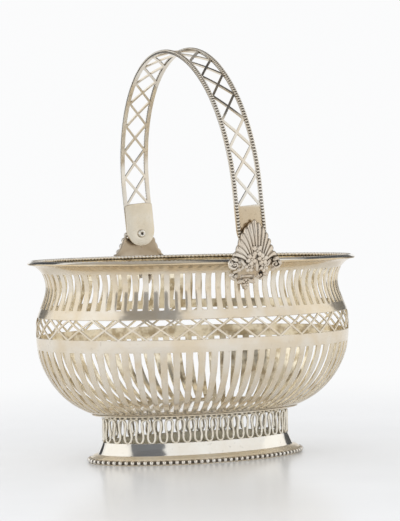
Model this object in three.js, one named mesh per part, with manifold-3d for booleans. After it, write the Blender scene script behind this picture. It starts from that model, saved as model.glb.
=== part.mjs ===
// A pierced oval silver basket with a swinging strap handle.
//
// Millimetres. +X runs along the oval's long axis, +Y across it, +Z up. The origin is the middle of
// the oval that the foot stands on. The wall is drawn flat, as rows of slats or lattice bars, and is
// then wrapped round the oval and given its thickness.

import * as THREE from 'three';
import Module from 'manifold-3d';
import { mergeVertices } from 'three/addons/utils/BufferGeometryUtils.js';

const wasm = await Module();
wasm.setup();

// The gap left between pieces that touch, and the gap round a pin that turns
const seam = 0.3;
const runningGap = 0.05;

// The oval, at the lip of the rim, and how much half width goes with each millimetre of half length
const rimHalfLength = 125;
const rimHalfWidth = 94;
const widthTaper = 1.13;

// How far each part of the oval lies inside the lip, along the oval, from the table up
const footInset = 40.4;
const galleryInset = 51.6;
const collarInset = 44;
const floorInset = 43.5;
const bellyInset = 5.3;
const waistInset = 12.9;

// Foot, from the table up
const baseThickness = 0.5;
const baseWidth = 4.5;
const apronThickness = 0.5;
const apronOverhang = 1.2;
const apronWidth = 5.7;
const apronRise = 1.4;
const skirtHeight = 13;
const loopSillHeight = 1.5;
const loopHeight = 16.9;
const footBandHeight = 2.2;
const footBandFlare = 3.8;
const collarWidth = 12;
const collarThickness = 1;

// Wall, from the collar up
const sheetThickness = 1.2;
const bowlBorderHeight = 1.6;
const bowlSlatHeight = 45.4;
const lowerBandHeight = 9;
const latticeHeight = 14;
const upperBandHeight = 6.5;
const neckSlatHeight = 24.9;
const rimRise = 6.5;
const bowlDepth = 56.5;
const bowlSweepDegrees = 69;
const bellyFlatHeight = 7;
const flareRise = 16.4;
const floorThickness = 1.2;

// What is cut through the wall and the foot
const bowlSlatCount = 72;
const bowlSlatShare = 0.56;
const neckSlatCount = 84;
const neckSlatShare = 0.56;
const latticeCount = 34;
const latticeBarWidth = 1.5;
const loopCount = 41;
const loopLineWidth = 1.35;
const loopSwing = 0.17;
const loopLanding = 0.07;

// Bead wires. The one on the rim tops a border that slopes up from the lip's edge.
const rimWireRadius = 1.2;
const rimWireInset = 3.4;
const rimWireRise = 0.7;
const rimSlopeWidth = 1.3;
const rimSlopeRise = 0.8;
const footWireRadius = 1.15;
const footWireInset = 1.7;
const strapWireRadius = 0.9;
const strapWireInset = 1.1;

// Handle: a flat strap bent to an arch across the oval, leaning as it was left
const pivotRise = 19.9;
const handleLeanDegrees = 5.2;
const strapWidth = 22.8;
const strapThickness = 1.3;
const strapOffset = 1.2;
const strapLegHeight = 32;
const archHeight = 101.8;
const strapBorder = 3.1;
const strapLatticeCount = 16;
const strapBarWidth = 1.5;
const endPlateWidth = 23.8;
const endPlateHeight = 23.5;
const endPlateDrop = 8.8;
const endPlateRoundHeight = 13.4;
const endPlateCrown = 1.4;
const endPlateThickness = 1.2;

// Pivots
const pinRadius = 1.5;
const pinRecess = 0.5;
const pinDepthInLug = 3;
const washerRadius = 2.75;
const washerThickness = 1.4;

// Shell lugs
const lugHeight = 28;
const lugShoulder = 17.3;
const lugHubRise = 2.6;
const lugSpreadDegrees = 98;
const lugHubRadius = 5;
const fluteCount = 13;
const fluteDepth = 1.3;
const fluteScallop = 1.5;
const lugBulge = 2.6;
const lugThickness = 1.5;
const lugBossRadius = 4;
const lugTailTopWidth = 17;
const lugTailTipWidth = 5;
const lugTailDrop = 17.9;
const lugTailThickness = 2.2;
const lugTailGap = 0.8;
const scrollRadius = 4.3;
const scrollSpread = 19.2;
const scrollDrop = 1.6;
const scrollThickness = 4;

// Fineness of the curved surfaces
const ovalSteps = 40;
const bowlSlatRows = 4;
const neckSlatRows = 3;
const rimRows = 3;
const archSteps = 32;
const wireSides = 5;

// Half lengths and heights that follow from the driving dimensions
const footHalfLength = rimHalfLength - footInset;
const footGalleryHalfLength = rimHalfLength - galleryInset;
const collarHalfLength = rimHalfLength - collarInset;
const floorHalfLength = rimHalfLength - floorInset;
const bellyHalfLength = rimHalfLength - bellyInset;
const waistHalfLength = rimHalfLength - waistInset;
const footWireHeight = baseThickness + seam + footWireRadius;
const apronBottom = footWireHeight + footWireRadius + seam;
const gallerySillBottom = skirtHeight + seam;
const loopBottom = gallerySillBottom + loopSillHeight;
const loopTop = loopBottom + loopHeight;
const galleryTop = loopTop + footBandHeight;
const collarBottom = galleryTop + seam;
const wallBottom = collarBottom + collarThickness + seam;
const bowlSlatBottom = wallBottom + bowlBorderHeight;
const bowlSlatTop = bowlSlatBottom + bowlSlatHeight;
const latticeBottom = bowlSlatTop + lowerBandHeight;
const latticeTop = latticeBottom + latticeHeight;
const neckSlatBottom = latticeTop + upperBandHeight;
const neckSlatTop = neckSlatBottom + neckSlatHeight;
const lipHeight = neckSlatTop + rimRise;
const bellyHeight = wallBottom + bowlDepth;
const bellyTop = bellyHeight + bellyFlatHeight;
const waistHeight = lipHeight - flareRise;
const pivotHeight = lipHeight + pivotRise;
const lugHubHeight = lipHeight + lugHubRise;

// Places along Y on the far side, from the inside of the basket outwards
const strapHalfSpan = rimHalfWidth + strapOffset;
const plateInside = strapHalfSpan - strapThickness / 2 - seam - endPlateThickness;
const washerInside = plateInside - seam - washerThickness;
const strapOutside = strapHalfSpan + strapThickness / 2;
const wireOutside = strapOutside + seam + 2 * strapWireRadius;
const lugBack = wireOutside + seam;

// Half width of the oval whose half length is given
function halfWidth(halfLength) {
  return rimHalfWidth - (rimHalfLength - halfLength) * widthTaper;
}

// Half length of the wall's outer face at a height
function wallHalfLength(height) {
  if (height < bellyHeight) {
    const sweep = THREE.MathUtils.degToRad(bowlSweepDegrees);
    const share = (bellyHeight - height) / bowlDepth;
    const reach = Math.sqrt(1 - (share * Math.sin(sweep)) ** 2);
    const swell = (reach - Math.cos(sweep)) / (1 - Math.cos(sweep));
    return floorHalfLength + (bellyHalfLength - floorHalfLength) * swell;
  }
  if (height < bellyTop) return bellyHalfLength;
  if (height < waistHeight) {
    const share = (height - bellyTop) / (waistHeight - bellyTop);
    const swell = (1 + Math.cos(Math.PI * share)) / 2;
    return waistHalfLength + (bellyHalfLength - waistHalfLength) * swell;
  }
  const share = Math.min(1, (height - waistHeight) / flareRise);
  return waistHalfLength + (rimHalfLength - waistHalfLength) * (1 - Math.sqrt(1 - share ** 2));
}

// A point of the wall's section, [half length, height], moved outwards square to the wall
function wallSection(height, outwards) {
  const step = 0.05;
  const above = Math.min(height + step, lipHeight);
  const below = above - 2 * step;
  const slope = (wallHalfLength(above) - wallHalfLength(below)) / (above - below);
  const run = Math.hypot(1, slope);
  return [wallHalfLength(height) + outwards / run, height - outwards * slope / run];
}

// The angle reached after a share of the way round an oval, counted from the end on +X
function evenTurn(halfLength) {
  const samples = 720;
  const runs = [0];
  const corner = (index) => {
    const angle = 2 * Math.PI * index / samples;
    return new THREE.Vector2(halfLength * Math.cos(angle), halfWidth(halfLength) * Math.sin(angle));
  };
  for (let index = 1; index <= samples; index++) {
    runs.push(runs[index - 1] + corner(index).distanceTo(corner(index - 1)));
  }
  return (share) => {
    const turns = Math.floor(share);
    const target = (share - turns) * runs[samples];
    let index = Math.floor((share - turns) * samples);
    while (index > 0 && runs[index] > target) index--;
    while (index < samples - 1 && runs[index + 1] < target) index++;
    const part = (target - runs[index]) / (runs[index + 1] - runs[index]);
    return 2 * Math.PI * (turns + (index + part) / samples);
  };
}

const wallTurn = evenTurn(bellyHalfLength);
const footTurn = evenTurn(footGalleryHalfLength);

// Places a point of the oval whose half length is given
function onOval(angle, halfLength, height) {
  return [halfLength * Math.cos(angle), halfWidth(halfLength) * Math.sin(angle), height];
}

// A thin sheet drawn flat, as points (along, across) and faces that run anticlockwise
class FlatSheet {
  constructor() {
    this.points = [];
    this.faces = [];
  }

  point(along, across) {
    this.points.push([along, across]);
    return this.points.length - 1;
  }

  row(alongs, across) {
    return alongs.map((along) => this.point(along, across));
  }

  quad(a, b, c, d) {
    this.faces.push([a, b, c], [a, c, d]);
  }

  // Fills the strip between two rows. Closed rows run right round, with along from 0 to 1.
  strip(lower, upper, closed) {
    const at = (row, index) => this.points[row[index % row.length]][0] + Math.floor(index / row.length);
    const lowerEnd = closed ? lower.length : lower.length - 1;
    const upperEnd = closed ? upper.length : upper.length - 1;
    let low = 0;
    let high = 0;
    while (low < lowerEnd || high < upperEnd) {
      const lowerIsNext = low < lowerEnd && at(lower, low + 1) <= at(upper, high + 1);
      const stepLower = high === upperEnd || lowerIsNext;
      const corner = lower[low % lower.length];
      const apex = upper[high % upper.length];
      if (stepLower) {
        low++;
        this.faces.push([corner, lower[low % lower.length], apex]);
      } else {
        high++;
        this.faces.push([corner, upper[high % upper.length], apex]);
      }
    }
  }

  // Wraps the sheet with place(along, across, depth) and closes it round every edge
  solid(place, thickness) {
    const count = this.points.length;
    const front = this.points.map(([along, across]) => place(along, across, 0));
    const back = this.points.map(([along, across]) => place(along, across, thickness));
    const index = [];
    const edges = new Set(this.faces.flatMap(([a, b, c]) => [`${a} ${b}`, `${b} ${c}`, `${c} ${a}`]));
    for (const [a, b, c] of this.faces) {
      index.push(a, b, c, a + count, c + count, b + count);
      for (const [from, to] of [[a, b], [b, c], [c, a]]) {
        if (edges.has(`${to} ${from}`)) continue;
        index.push(to, from, from + count, to, from + count, to + count);
      }
    }
    return closedGeometry([...front, ...back], index);
  }
}

// A geometry from shared corners, turned so that its faces point out
function closedGeometry(corners, index) {
  const points = corners.map((corner) => new THREE.Vector3(...corner));
  let volume = 0;
  for (let i = 0; i < index.length; i += 3) {
    const [a, b, c] = [points[index[i]], points[index[i + 1]], points[index[i + 2]]];
    volume += a.dot(b.clone().cross(c));
  }
  const outward = volume > 0 ? index : [...index].reverse();
  const geometry = new THREE.BufferGeometry();
  geometry.setAttribute('position', new THREE.Float32BufferAttribute(corners.flat(), 3));
  geometry.setIndex(outward);
  return faceted(geometry);
}

// Flat facets, each with its own normal
function faceted(geometry) {
  const loose = geometry.toNonIndexed();
  loose.computeVertexNormals();
  return loose;
}

// A ring whose section, a closed loop of [half length, height], is swept round the oval
function ovalRing(section, turnAt) {
  const corners = [];
  const index = [];
  const size = section.length;
  for (let step = 0; step < ovalSteps; step++) {
    const angle = turnAt(step / ovalSteps);
    for (const [halfLength, height] of section) corners.push(onOval(angle, halfLength, height));
    const here = step * size;
    const next = ((step + 1) % ovalSteps) * size;
    for (let side = 0; side < size; side++) {
      const other = (side + 1) % size;
      index.push(here + side, next + side, next + other, here + side, next + other, here + other);
    }
  }
  return closedGeometry(corners, index);
}

// A solid plate whose edge, an open line of [half length, height], is closed across the middle
function ovalPlate(edge, turnAt, steps) {
  const outline = [...Array(steps).keys()].map((step) => turnAt(step / steps));
  const corners = [];
  const index = [];
  for (const [halfLength, height] of edge) {
    for (const angle of outline) corners.push(onOval(angle, halfLength, height));
  }
  for (let row = 0; row < edge.length - 1; row++) {
    for (let step = 0; step < steps; step++) {
      const next = (step + 1) % steps;
      const [a, b] = [row * steps + step, row * steps + next];
      index.push(a, b, b + steps, a, b + steps, a + steps);
    }
  }
  const last = (edge.length - 1) * steps;
  const bottomMiddle = corners.push([0, 0, edge[0][1]]) - 1;
  const topMiddle = corners.push([0, 0, edge[edge.length - 1][1]]) - 1;
  for (let step = 0; step < steps; step++) {
    const next = (step + 1) % steps;
    index.push(next, step, bottomMiddle, last + step, last + next, topMiddle);
  }
  return closedGeometry(corners, index);
}

// Wraps a sheet on the wall: along is the share of the way round, across the height
function onWall(along, across, depth) {
  const [halfLength, height] = wallSection(across, -depth);
  return onOval(wallTurn(along), halfLength, height);
}

// Wraps a sheet on the wall of the foot, which is upright and flares out in its top band
function onFoot(along, across, depth) {
  const flare = footBandFlare * Math.max(0, across - loopTop) / footBandHeight;
  return onOval(footTurn(along), footGalleryHalfLength + flare - depth, across);
}

// Shares of the way round for a plain border
function evenShares(count) {
  return [...Array(count).keys()].map((step) => step / count);
}

// Upright slats between two heights. Returns the rows of points that they start from and end at.
function slatRun(sheet, { count, share, bottom, top, rows }) {
  const edges = [...Array(count).keys()].flatMap((slat) => [
    (slat + 0.5 - share / 2) / count,
    (slat + 0.5 + share / 2) / count,
  ]);
  const levels = [...Array(rows + 1).keys()].map((level) => (
    sheet.row(edges, bottom + (top - bottom) * level / rows)
  ));
  for (let level = 0; level < rows; level++) {
    for (let left = 0; left < edges.length; left += 2) {
      const [lower, upper] = [levels[level], levels[level + 1]];
      sheet.quad(lower[left], lower[left + 1], upper[left + 1], upper[left]);
    }
  }
  return { lowest: levels[0], highest: levels[rows] };
}

// A run of crossed bars between two lines. Bars meet the lines at the ends of each cell and each
// other in the middle. Returns the points on both lines, in order.
function latticeRun(sheet, { cells, from, cell, low, high, barWidth, scale, closed }) {
  const slope = Math.atan2(high - low, cell * scale);
  const foot = barWidth / 2 / Math.sin(slope) / scale;
  const notch = barWidth / 2 / Math.cos(slope);
  const middle = (low + high) / 2;
  const lowLine = [];
  const highLine = [];
  const nodes = [];
  for (let node = 0; node < (closed ? cells : cells + 1); node++) {
    const along = from + node * cell;
    const before = closed || node > 0 ? along - foot : along;
    const after = closed || node < cells ? along + foot : along;
    const corner = (line, across, tip) => {
      const points = [sheet.point(before, across), sheet.point(after, across), sheet.point(along, tip)];
      line.push(points[0], points[1]);
      return points;
    };
    const lower = corner(lowLine, low, low + notch);
    const upper = corner(highLine, high, high - notch);
    sheet.faces.push([lower[0], lower[1], lower[2]], [upper[1], upper[0], upper[2]]);
    nodes.push({ lower, upper });
  }
  for (let index = 0; index < cells; index++) {
    const along = from + (index + 0.5) * cell;
    const before = sheet.point(along - foot, middle);
    const after = sheet.point(along + foot, middle);
    const below = sheet.point(along, middle - notch);
    const above = sheet.point(along, middle + notch);
    const left = nodes[index];
    const right = nodes[(index + 1) % nodes.length];
    sheet.quad(before, below, after, above);
    sheet.quad(left.lower[1], below, before, left.lower[2]);
    sheet.quad(below, right.lower[0], right.lower[2], after);
    sheet.quad(before, above, left.upper[1], left.upper[2]);
    sheet.quad(after, right.upper[2], right.upper[0], above);
  }
  return { lowLine, highLine, nodes };
}

// The wall, one sheet from the floor to the lip: bowl slats, a belt of crossed bars between two plain
// bands, neck slats, and a plain rim that flares out
function piercedWall() {
  const sheet = new FlatSheet();
  const bowl = slatRun(sheet, {
    count: bowlSlatCount,
    share: bowlSlatShare,
    bottom: bowlSlatBottom,
    top: bowlSlatTop,
    rows: bowlSlatRows,
  });
  const belt = latticeRun(sheet, {
    cells: latticeCount,
    from: 0.5 / latticeCount,
    cell: 1 / latticeCount,
    low: latticeBottom,
    high: latticeTop,
    barWidth: latticeBarWidth,
    scale: ovalPerimeter(bellyHalfLength),
    closed: true,
  });
  const neck = slatRun(sheet, {
    count: neckSlatCount,
    share: neckSlatShare,
    bottom: neckSlatBottom,
    top: neckSlatTop,
    rows: neckSlatRows,
  });
  sheet.strip(sheet.row(evenShares(bowlSlatCount / 2), wallBottom), bowl.lowest, true);
  sheet.strip(bowl.highest, belt.lowLine, true);
  sheet.strip(belt.highLine, neck.lowest, true);
  const start = Math.asin((neckSlatTop - waistHeight) / flareRise);
  let last = neck.highest;
  for (let step = 1; step <= rimRows; step++) {
    const turn = start + (Math.PI / 2 - start) * step / rimRows;
    const next = sheet.row(evenShares(neckSlatCount / 2), waistHeight + flareRise * Math.sin(turn));
    sheet.strip(last, next, true);
    last = next;
  }
  return sheet.solid(onWall, sheetThickness);
}

function ovalPerimeter(halfLength) {
  const samples = 360;
  let length = 0;
  let last = new THREE.Vector3(...onOval(0, halfLength, 0));
  for (let index = 1; index <= samples; index++) {
    const next = new THREE.Vector3(...onOval(2 * Math.PI * index / samples, halfLength, 0));
    length += next.distanceTo(last);
    last = next;
  }
  return length;
}

// The foot's gallery: one line that winds up and down between a sill and a band, as hanging loops
function loopGallery() {
  const sheet = new FlatSheet();
  const pitch = ovalPerimeter(footGalleryHalfLength) / loopCount;
  const rise = (loopHeight - loopLineWidth) / 2 / Math.cos(2 * Math.PI * loopLanding);
  const middle = (loopBottom + loopTop) / 2;
  const climb = [loopLanding, 0.25, 0.5 - loopLanding];
  const shares = [...climb, ...climb.map((share) => share + 0.5)];
  const sill = [];
  const lintel = [];
  const rail = [];
  for (let loop = 0; loop < loopCount; loop++) {
    shares.forEach((share, step) => {
      const turn = 2 * Math.PI * share;
      const x = (loop + share + loopSwing * Math.sin(2 * turn)) * pitch;
      const y = middle - rise * Math.cos(turn);
      const run = new THREE.Vector2(
        (1 + 2 * loopSwing * 2 * Math.PI * Math.cos(2 * turn)) * pitch,
        rise * 2 * Math.PI * Math.sin(turn),
      ).setLength(loopLineWidth / 2);
      const landsBelow = step === 0 || step === shares.length - 1;
      const landsAbove = !landsBelow && step !== 1 && step !== shares.length - 2;
      const right = sheet.point((x + run.y) / pitch / loopCount, landsBelow ? loopBottom : y - run.x);
      const left = sheet.point((x - run.y) / pitch / loopCount, landsAbove ? loopTop : y + run.x);
      if (landsBelow) sill.push(right);
      if (landsAbove) lintel.push(left);
      rail.push([right, left]);
    });
  }
  rail.forEach(([right, left], step) => {
    const [nextRight, nextLeft] = rail[(step + 1) % rail.length];
    sheet.quad(right, nextRight, nextLeft, left);
  });
  sheet.strip(sheet.row(evenShares(loopCount), gallerySillBottom), sill, true);
  sheet.strip(lintel, sheet.row(evenShares(loopCount), galleryTop), true);
  return sheet.solid(onFoot, sheetThickness);
}

// A plain round wire bent to the oval
function wireRing(halfLength, height, radius, turnAt) {
  const section = [...Array(wireSides).keys()].map((side) => {
    const angle = 2 * Math.PI * (side + 0.75) / wireSides;
    return [halfLength + radius * Math.cos(angle), height + radius * Math.sin(angle)];
  });
  return ovalRing(section, turnAt);
}

// The border on the lip's top: a slope up from the lip's edge, and the bead wire along its inner side
function rimBorder() {
  const base = lipHeight + sheetThickness + seam;
  const middle = rimHalfLength - rimWireInset;
  const wireHeight = base + rimWireRise;
  const wire = [30, 90, 150].map((degrees) => {
    const angle = THREE.MathUtils.degToRad(degrees);
    return [middle + rimWireRadius * Math.cos(angle), wireHeight + rimWireRadius * Math.sin(angle)];
  });
  return ovalRing([
    [rimHalfLength, base],
    [rimHalfLength - rimSlopeWidth, base + rimSlopeRise],
    ...wire,
    [middle - rimWireRadius, base],
  ], wallTurn);
}

// The flat thin disc that the bowl stands on, a step wider than the foot's gallery
function footCollar() {
  const inside = collarHalfLength - collarWidth;
  const top = collarBottom + collarThickness;
  return ovalRing([
    [inside, collarBottom],
    [collarHalfLength, collarBottom],
    [collarHalfLength, top],
    [inside, top],
  ], footTurn);
}

// The plain cove under the gallery, the sloping apron below it, and the thin base that stands on the
// table. The bead wire lies in the groove between apron and base.
function footSkirt() {
  const apronEdge = footHalfLength - apronOverhang;
  const coveFoot = apronEdge - apronWidth;
  const coveBottom = apronBottom + apronThickness + apronRise;
  const grooveBack = footHalfLength - footWireInset - footWireRadius - seam;
  const baseInside = footHalfLength - baseWidth;
  const steps = 4;
  const cove = [...Array(steps + 1).keys()].map((step) => {
    const share = step / steps;
    const halfLength = footGalleryHalfLength + (coveFoot - footGalleryHalfLength) * share ** 1.5;
    return [halfLength, skirtHeight + (coveBottom - skirtHeight) * share];
  });
  const inner = cove.map(([halfLength, height], step) => (
    [halfLength - sheetThickness, height - sheetThickness * step / steps]
  ));
  return ovalRing([
    ...cove,
    [apronEdge, apronBottom + apronThickness],
    [apronEdge, apronBottom],
    [grooveBack, apronBottom],
    [grooveBack, baseThickness],
    [footHalfLength, baseThickness],
    [footHalfLength, 0],
    [baseInside, 0],
    [baseInside, apronBottom],
    ...inner.reverse(),
  ], footTurn);
}

// The bowl's flat floor, just inside the bottom border of the slats
function floorPlate() {
  const inset = sheetThickness + seam;
  const [bottomEdge] = wallSection(wallBottom, -inset);
  const [topEdge] = wallSection(wallBottom + floorThickness, -inset);
  return ovalPlate([
    [Math.min(bottomEdge, topEdge), wallBottom],
    [Math.min(bottomEdge, topEdge), wallBottom + floorThickness],
  ], wallTurn, bowlSlatCount / 2);
}

// The handle's middle line, in its own frame with the pivot at the origin and +Z to its crown:
// upright legs and half an ellipse. Gives the place and the outward direction at a length from a pivot.
const archLine = (() => {
  const samples = 400;
  const line = [
    { run: 0, y: strapHalfSpan, z: 0 },
    { run: strapLegHeight, y: strapHalfSpan, z: strapLegHeight },
  ];
  for (let index = 1; index <= samples; index++) {
    const angle = Math.PI * index / samples;
    const y = strapHalfSpan * Math.cos(angle);
    const z = strapLegHeight + archHeight * Math.sin(angle);
    const last = line[line.length - 1];
    line.push({ run: last.run + Math.hypot(y - last.y, z - last.z), y, z });
  }
  const last = line[line.length - 1];
  line.push({ run: last.run + strapLegHeight, y: -strapHalfSpan, z: 0 });
  return line;
})();
const archLength = archLine[archLine.length - 1].run;

function onArch(run, outwards) {
  let index = archLine.findIndex((point) => point.run >= run);
  if (index < 0) index = archLine.length - 1;
  if (index === 0) index = 1;
  const [from, to] = [archLine[index - 1], archLine[index]];
  const part = (run - from.run) / (to.run - from.run);
  const length = Math.hypot(to.y - from.y, to.z - from.z);
  const normal = [(to.z - from.z) / length, -(to.y - from.y) / length];
  return [
    from.y + (to.y - from.y) * part + normal[0] * outwards,
    from.z + (to.z - from.z) * part + normal[1] * outwards,
  ];
}

// Wraps a sheet on the handle: along is the length from the far pivot, across the place over its width
function onStrap(along, across, depth) {
  const [y, z] = onArch(along, strapThickness / 2 - depth);
  return [-across, y, z];
}

// The rounded end of a strap or plate below its straight sides, with its middle on the pivot's line
function roundedEnd(halfSpan, steps) {
  const start = endPlateRoundHeight - endPlateDrop;
  const scale = halfSpan / (endPlateWidth / 2);
  return [...Array(steps + 1).keys()].map((step) => {
    const turn = Math.PI * step / steps;
    return [halfSpan * Math.cos(turn), start * scale - endPlateRoundHeight * scale * Math.sin(turn)];
  });
}

function pinHole(sides) {
  const radius = (pinRadius + runningGap) / Math.cos(Math.PI / sides);
  return [...Array(sides).keys()].map((side) => {
    const angle = 2 * Math.PI * side / sides;
    return new THREE.Vector2(radius * Math.cos(angle), radius * Math.sin(angle));
  });
}

// The pierced strap: crossed bars between plain borders, and a plain rounded end at each pivot
function handleStrap() {
  const sheet = new FlatSheet();
  const half = strapWidth / 2;
  const line = half - strapBorder;
  const cell = (archLength - 2 * endPlateHeight) / strapLatticeCount;
  const { lowLine, highLine, nodes } = latticeRun(sheet, {
    cells: strapLatticeCount,
    from: endPlateHeight,
    cell,
    low: -line,
    high: line,
    barWidth: strapBarWidth,
    scale: 1,
    closed: false,
  });
  const halfCells = [...Array(strapLatticeCount * 2 + 1).keys()];
  const steps = halfCells.map((step) => endPlateHeight + step * cell / 2);
  const lowEdge = sheet.row(steps, -half);
  const highEdge = sheet.row(steps, half);
  sheet.strip(lowEdge, lowLine, false);
  sheet.strip(highLine, highEdge, false);
  for (const end of [0, 1]) {
    const row = end ? steps.length - 1 : 0;
    const node = nodes[end ? nodes.length - 1 : 0];
    const side = end ? 1 : 0;
    const middle = [node.upper[side], node.upper[2], node.lower[2], node.lower[side]];
    const shared = [highEdge[row], ...middle, lowEdge[row]];
    plainEnd(sheet, shared, end);
  }
  return sheet.solid(onStrap, strapThickness);
}

// Adds the plain end beyond the lattice, cut for the pin, to the points that it shares with the lattice
function plainEnd(sheet, shared, end) {
  const outline = roundedEnd(strapWidth / 2, 8);
  const round = outline.map(([x, z]) => new THREE.Vector2(x, z));
  const mapped = (x, z) => [end ? archLength - z : z, x];
  const top = shared.map((index) => {
    const [along, across] = sheet.points[index];
    return new THREE.Vector2(across, end ? archLength - along : along);
  });
  const loop = [...top, ...round.reverse()];
  const hole = pinHole(10);
  const ids = [
    ...shared,
    ...loop.slice(top.length).map((corner) => sheet.point(...mapped(corner.x, corner.y))),
    ...hole.map((corner) => sheet.point(...mapped(corner.x, corner.y))),
  ];
  for (const [a, b, c] of THREE.ShapeUtils.triangulateShape(loop, [hole])) {
    const [p, q, r] = [a, b, c].map((index) => sheet.points[ids[index]]);
    const turn = (q[0] - p[0]) * (r[1] - p[1]) - (q[1] - p[1]) * (r[0] - p[0]);
    sheet.faces.push(turn > 0 ? [ids[a], ids[b], ids[c]] : [ids[a], ids[c], ids[b]]);
  }
}

// A plain wire along one edge of the strap's outer face
function strapWire(side) {
  const across = side * (strapWidth / 2 - strapWireInset);
  const outwards = strapThickness / 2 + seam + strapWireRadius;
  const corners = [];
  const index = [];
  for (let step = 0; step <= archSteps; step++) {
    for (let face = 0; face < wireSides; face++) {
      const angle = 2 * Math.PI * (face + 0.5) / wireSides;
      const [y, z] = onArch(archLength * step / archSteps, outwards + strapWireRadius * Math.cos(angle));
      corners.push([across + strapWireRadius * Math.sin(angle), y, z]);
    }
  }
  for (let step = 0; step < archSteps; step++) {
    for (let face = 0; face < wireSides; face++) {
      const [a, b] = [step * wireSides + face, step * wireSides + (face + 1) % wireSides];
      index.push(a, b, b + wireSides, a, b + wireSides, a + wireSides);
    }
  }
  for (let face = 1; face < wireSides - 1; face++) {
    const last = archSteps * wireSides;
    index.push(0, face + 1, face, last, last + face, last + face + 1);
  }
  return closedGeometry(corners, index);
}

// The plain plate riveted inside each end of the strap
function endPlate() {
  const half = endPlateWidth / 2;
  const top = [-1, -0.5, 0, 0.5].map((share) => (
    new THREE.Vector2(-half * share, endPlateHeight - endPlateCrown * share ** 2)
  ));
  const round = roundedEnd(half, 10).map(([x, z]) => new THREE.Vector2(x, z));
  const corner = new THREE.Vector2(-half, endPlateHeight - endPlateCrown);
  const shape = new THREE.Shape([...top, corner, ...round.reverse()]);
  shape.holes.push(new THREE.Path(pinHole(10)));
  const geometry = new THREE.ExtrudeGeometry(shape, { depth: endPlateThickness, bevelEnabled: false });
  geometry.applyMatrix4(new THREE.Matrix4().makeBasis(
    new THREE.Vector3(-1, 0, 0),
    new THREE.Vector3(0, 0, 1),
    new THREE.Vector3(0, 1, 0),
  ));
  geometry.translate(0, plateInside, 0);
  return geometry;
}

// A round body on an axis along Y, from a profile of [radius, y]
function turnedOnY(profile, sides) {
  return new THREE.LatheGeometry(profile.map(([radius, y]) => new THREE.Vector2(radius, y)), sides);
}

function pivotPin() {
  const from = washerInside + pinRecess;
  const to = strapOutside + seam + pinDepthInLug;
  return turnedOnY([[0, from], [pinRadius, from], [pinRadius, to], [0, to]], 10);
}

// The domed ring that the pin is riveted over
function pivotWasher() {
  const bore = (pinRadius + runningGap) / Math.cos(Math.PI / 12);
  const back = washerInside + washerThickness;
  const crown = (bore + washerRadius) / 2;
  const shoulder = washerInside + washerThickness / 2;
  const profile = [[bore, back], [bore, shoulder], [crown, washerInside], [washerRadius, shoulder]];
  return turnedOnY([...profile, [washerRadius, back], [bore, back]], 12);
}

// Turns a closed geometry into a solid that can be joined or cut
function toSolid(geometry) {
  const bare = geometry.clone();
  for (const name of Object.keys(bare.attributes)) {
    if (name !== 'position') bare.deleteAttribute(name);
  }
  const merged = mergeVertices(bare, 1e-4);
  return new wasm.Manifold(new wasm.Mesh({
    numProp: 3,
    vertProperties: new Float32Array(merged.attributes.position.array),
    triVerts: new Uint32Array(merged.index.array),
  }));
}

function fromSolid(solid) {
  const mesh = solid.getMesh();
  const geometry = new THREE.BufferGeometry();
  geometry.setAttribute('position', new THREE.BufferAttribute(mesh.vertProperties, 3));
  geometry.setIndex(new THREE.BufferAttribute(mesh.triVerts, 1));
  return faceted(geometry);
}

// The lug's fan of flutes, spread from a hub just above the rim's lip, with a scalloped edge
function lugFan() {
  const sheet = new FlatSheet();
  const columns = 2 * fluteCount;
  const rows = 2;
  const grid = [...Array(rows + 1).keys()].map((row) => (
    sheet.row([...Array(columns + 1).keys()].map((column) => column / columns), row / rows)
  ));
  for (let row = 0; row < rows; row++) {
    for (let column = 0; column < columns; column++) {
      const [lower, upper] = [grid[row], grid[row + 1]];
      sheet.quad(lower[column], lower[column + 1], upper[column + 1], upper[column]);
    }
  }
  const spread = THREE.MathUtils.degToRad(lugSpreadDegrees);
  return sheet.solid((along, across, depth) => {
    const angle = (1 - 2 * along) * spread;
    const ridge = (1 - Math.cos(2 * Math.PI * along * fluteCount)) / 2;
    const reach = lugShoulder + (lugHeight - lugShoulder) * Math.max(0, Math.cos(angle)) ** 5;
    const edge = reach - fluteScallop * (1 - ridge);
    const radius = lugHubRadius + (edge - lugHubRadius) * across;
    const relief = fluteDepth * ridge * (0.3 + 0.7 * across) + lugBulge * (1 - across ** 2);
    const front = lugBack + lugThickness + relief;
    const y = depth > 0 ? lugBack + Math.max(0, relief - fluteDepth) : front;
    return [-radius * Math.sin(angle), y, lugHubHeight + radius * Math.cos(angle)];
  }, 1);
}

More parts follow.
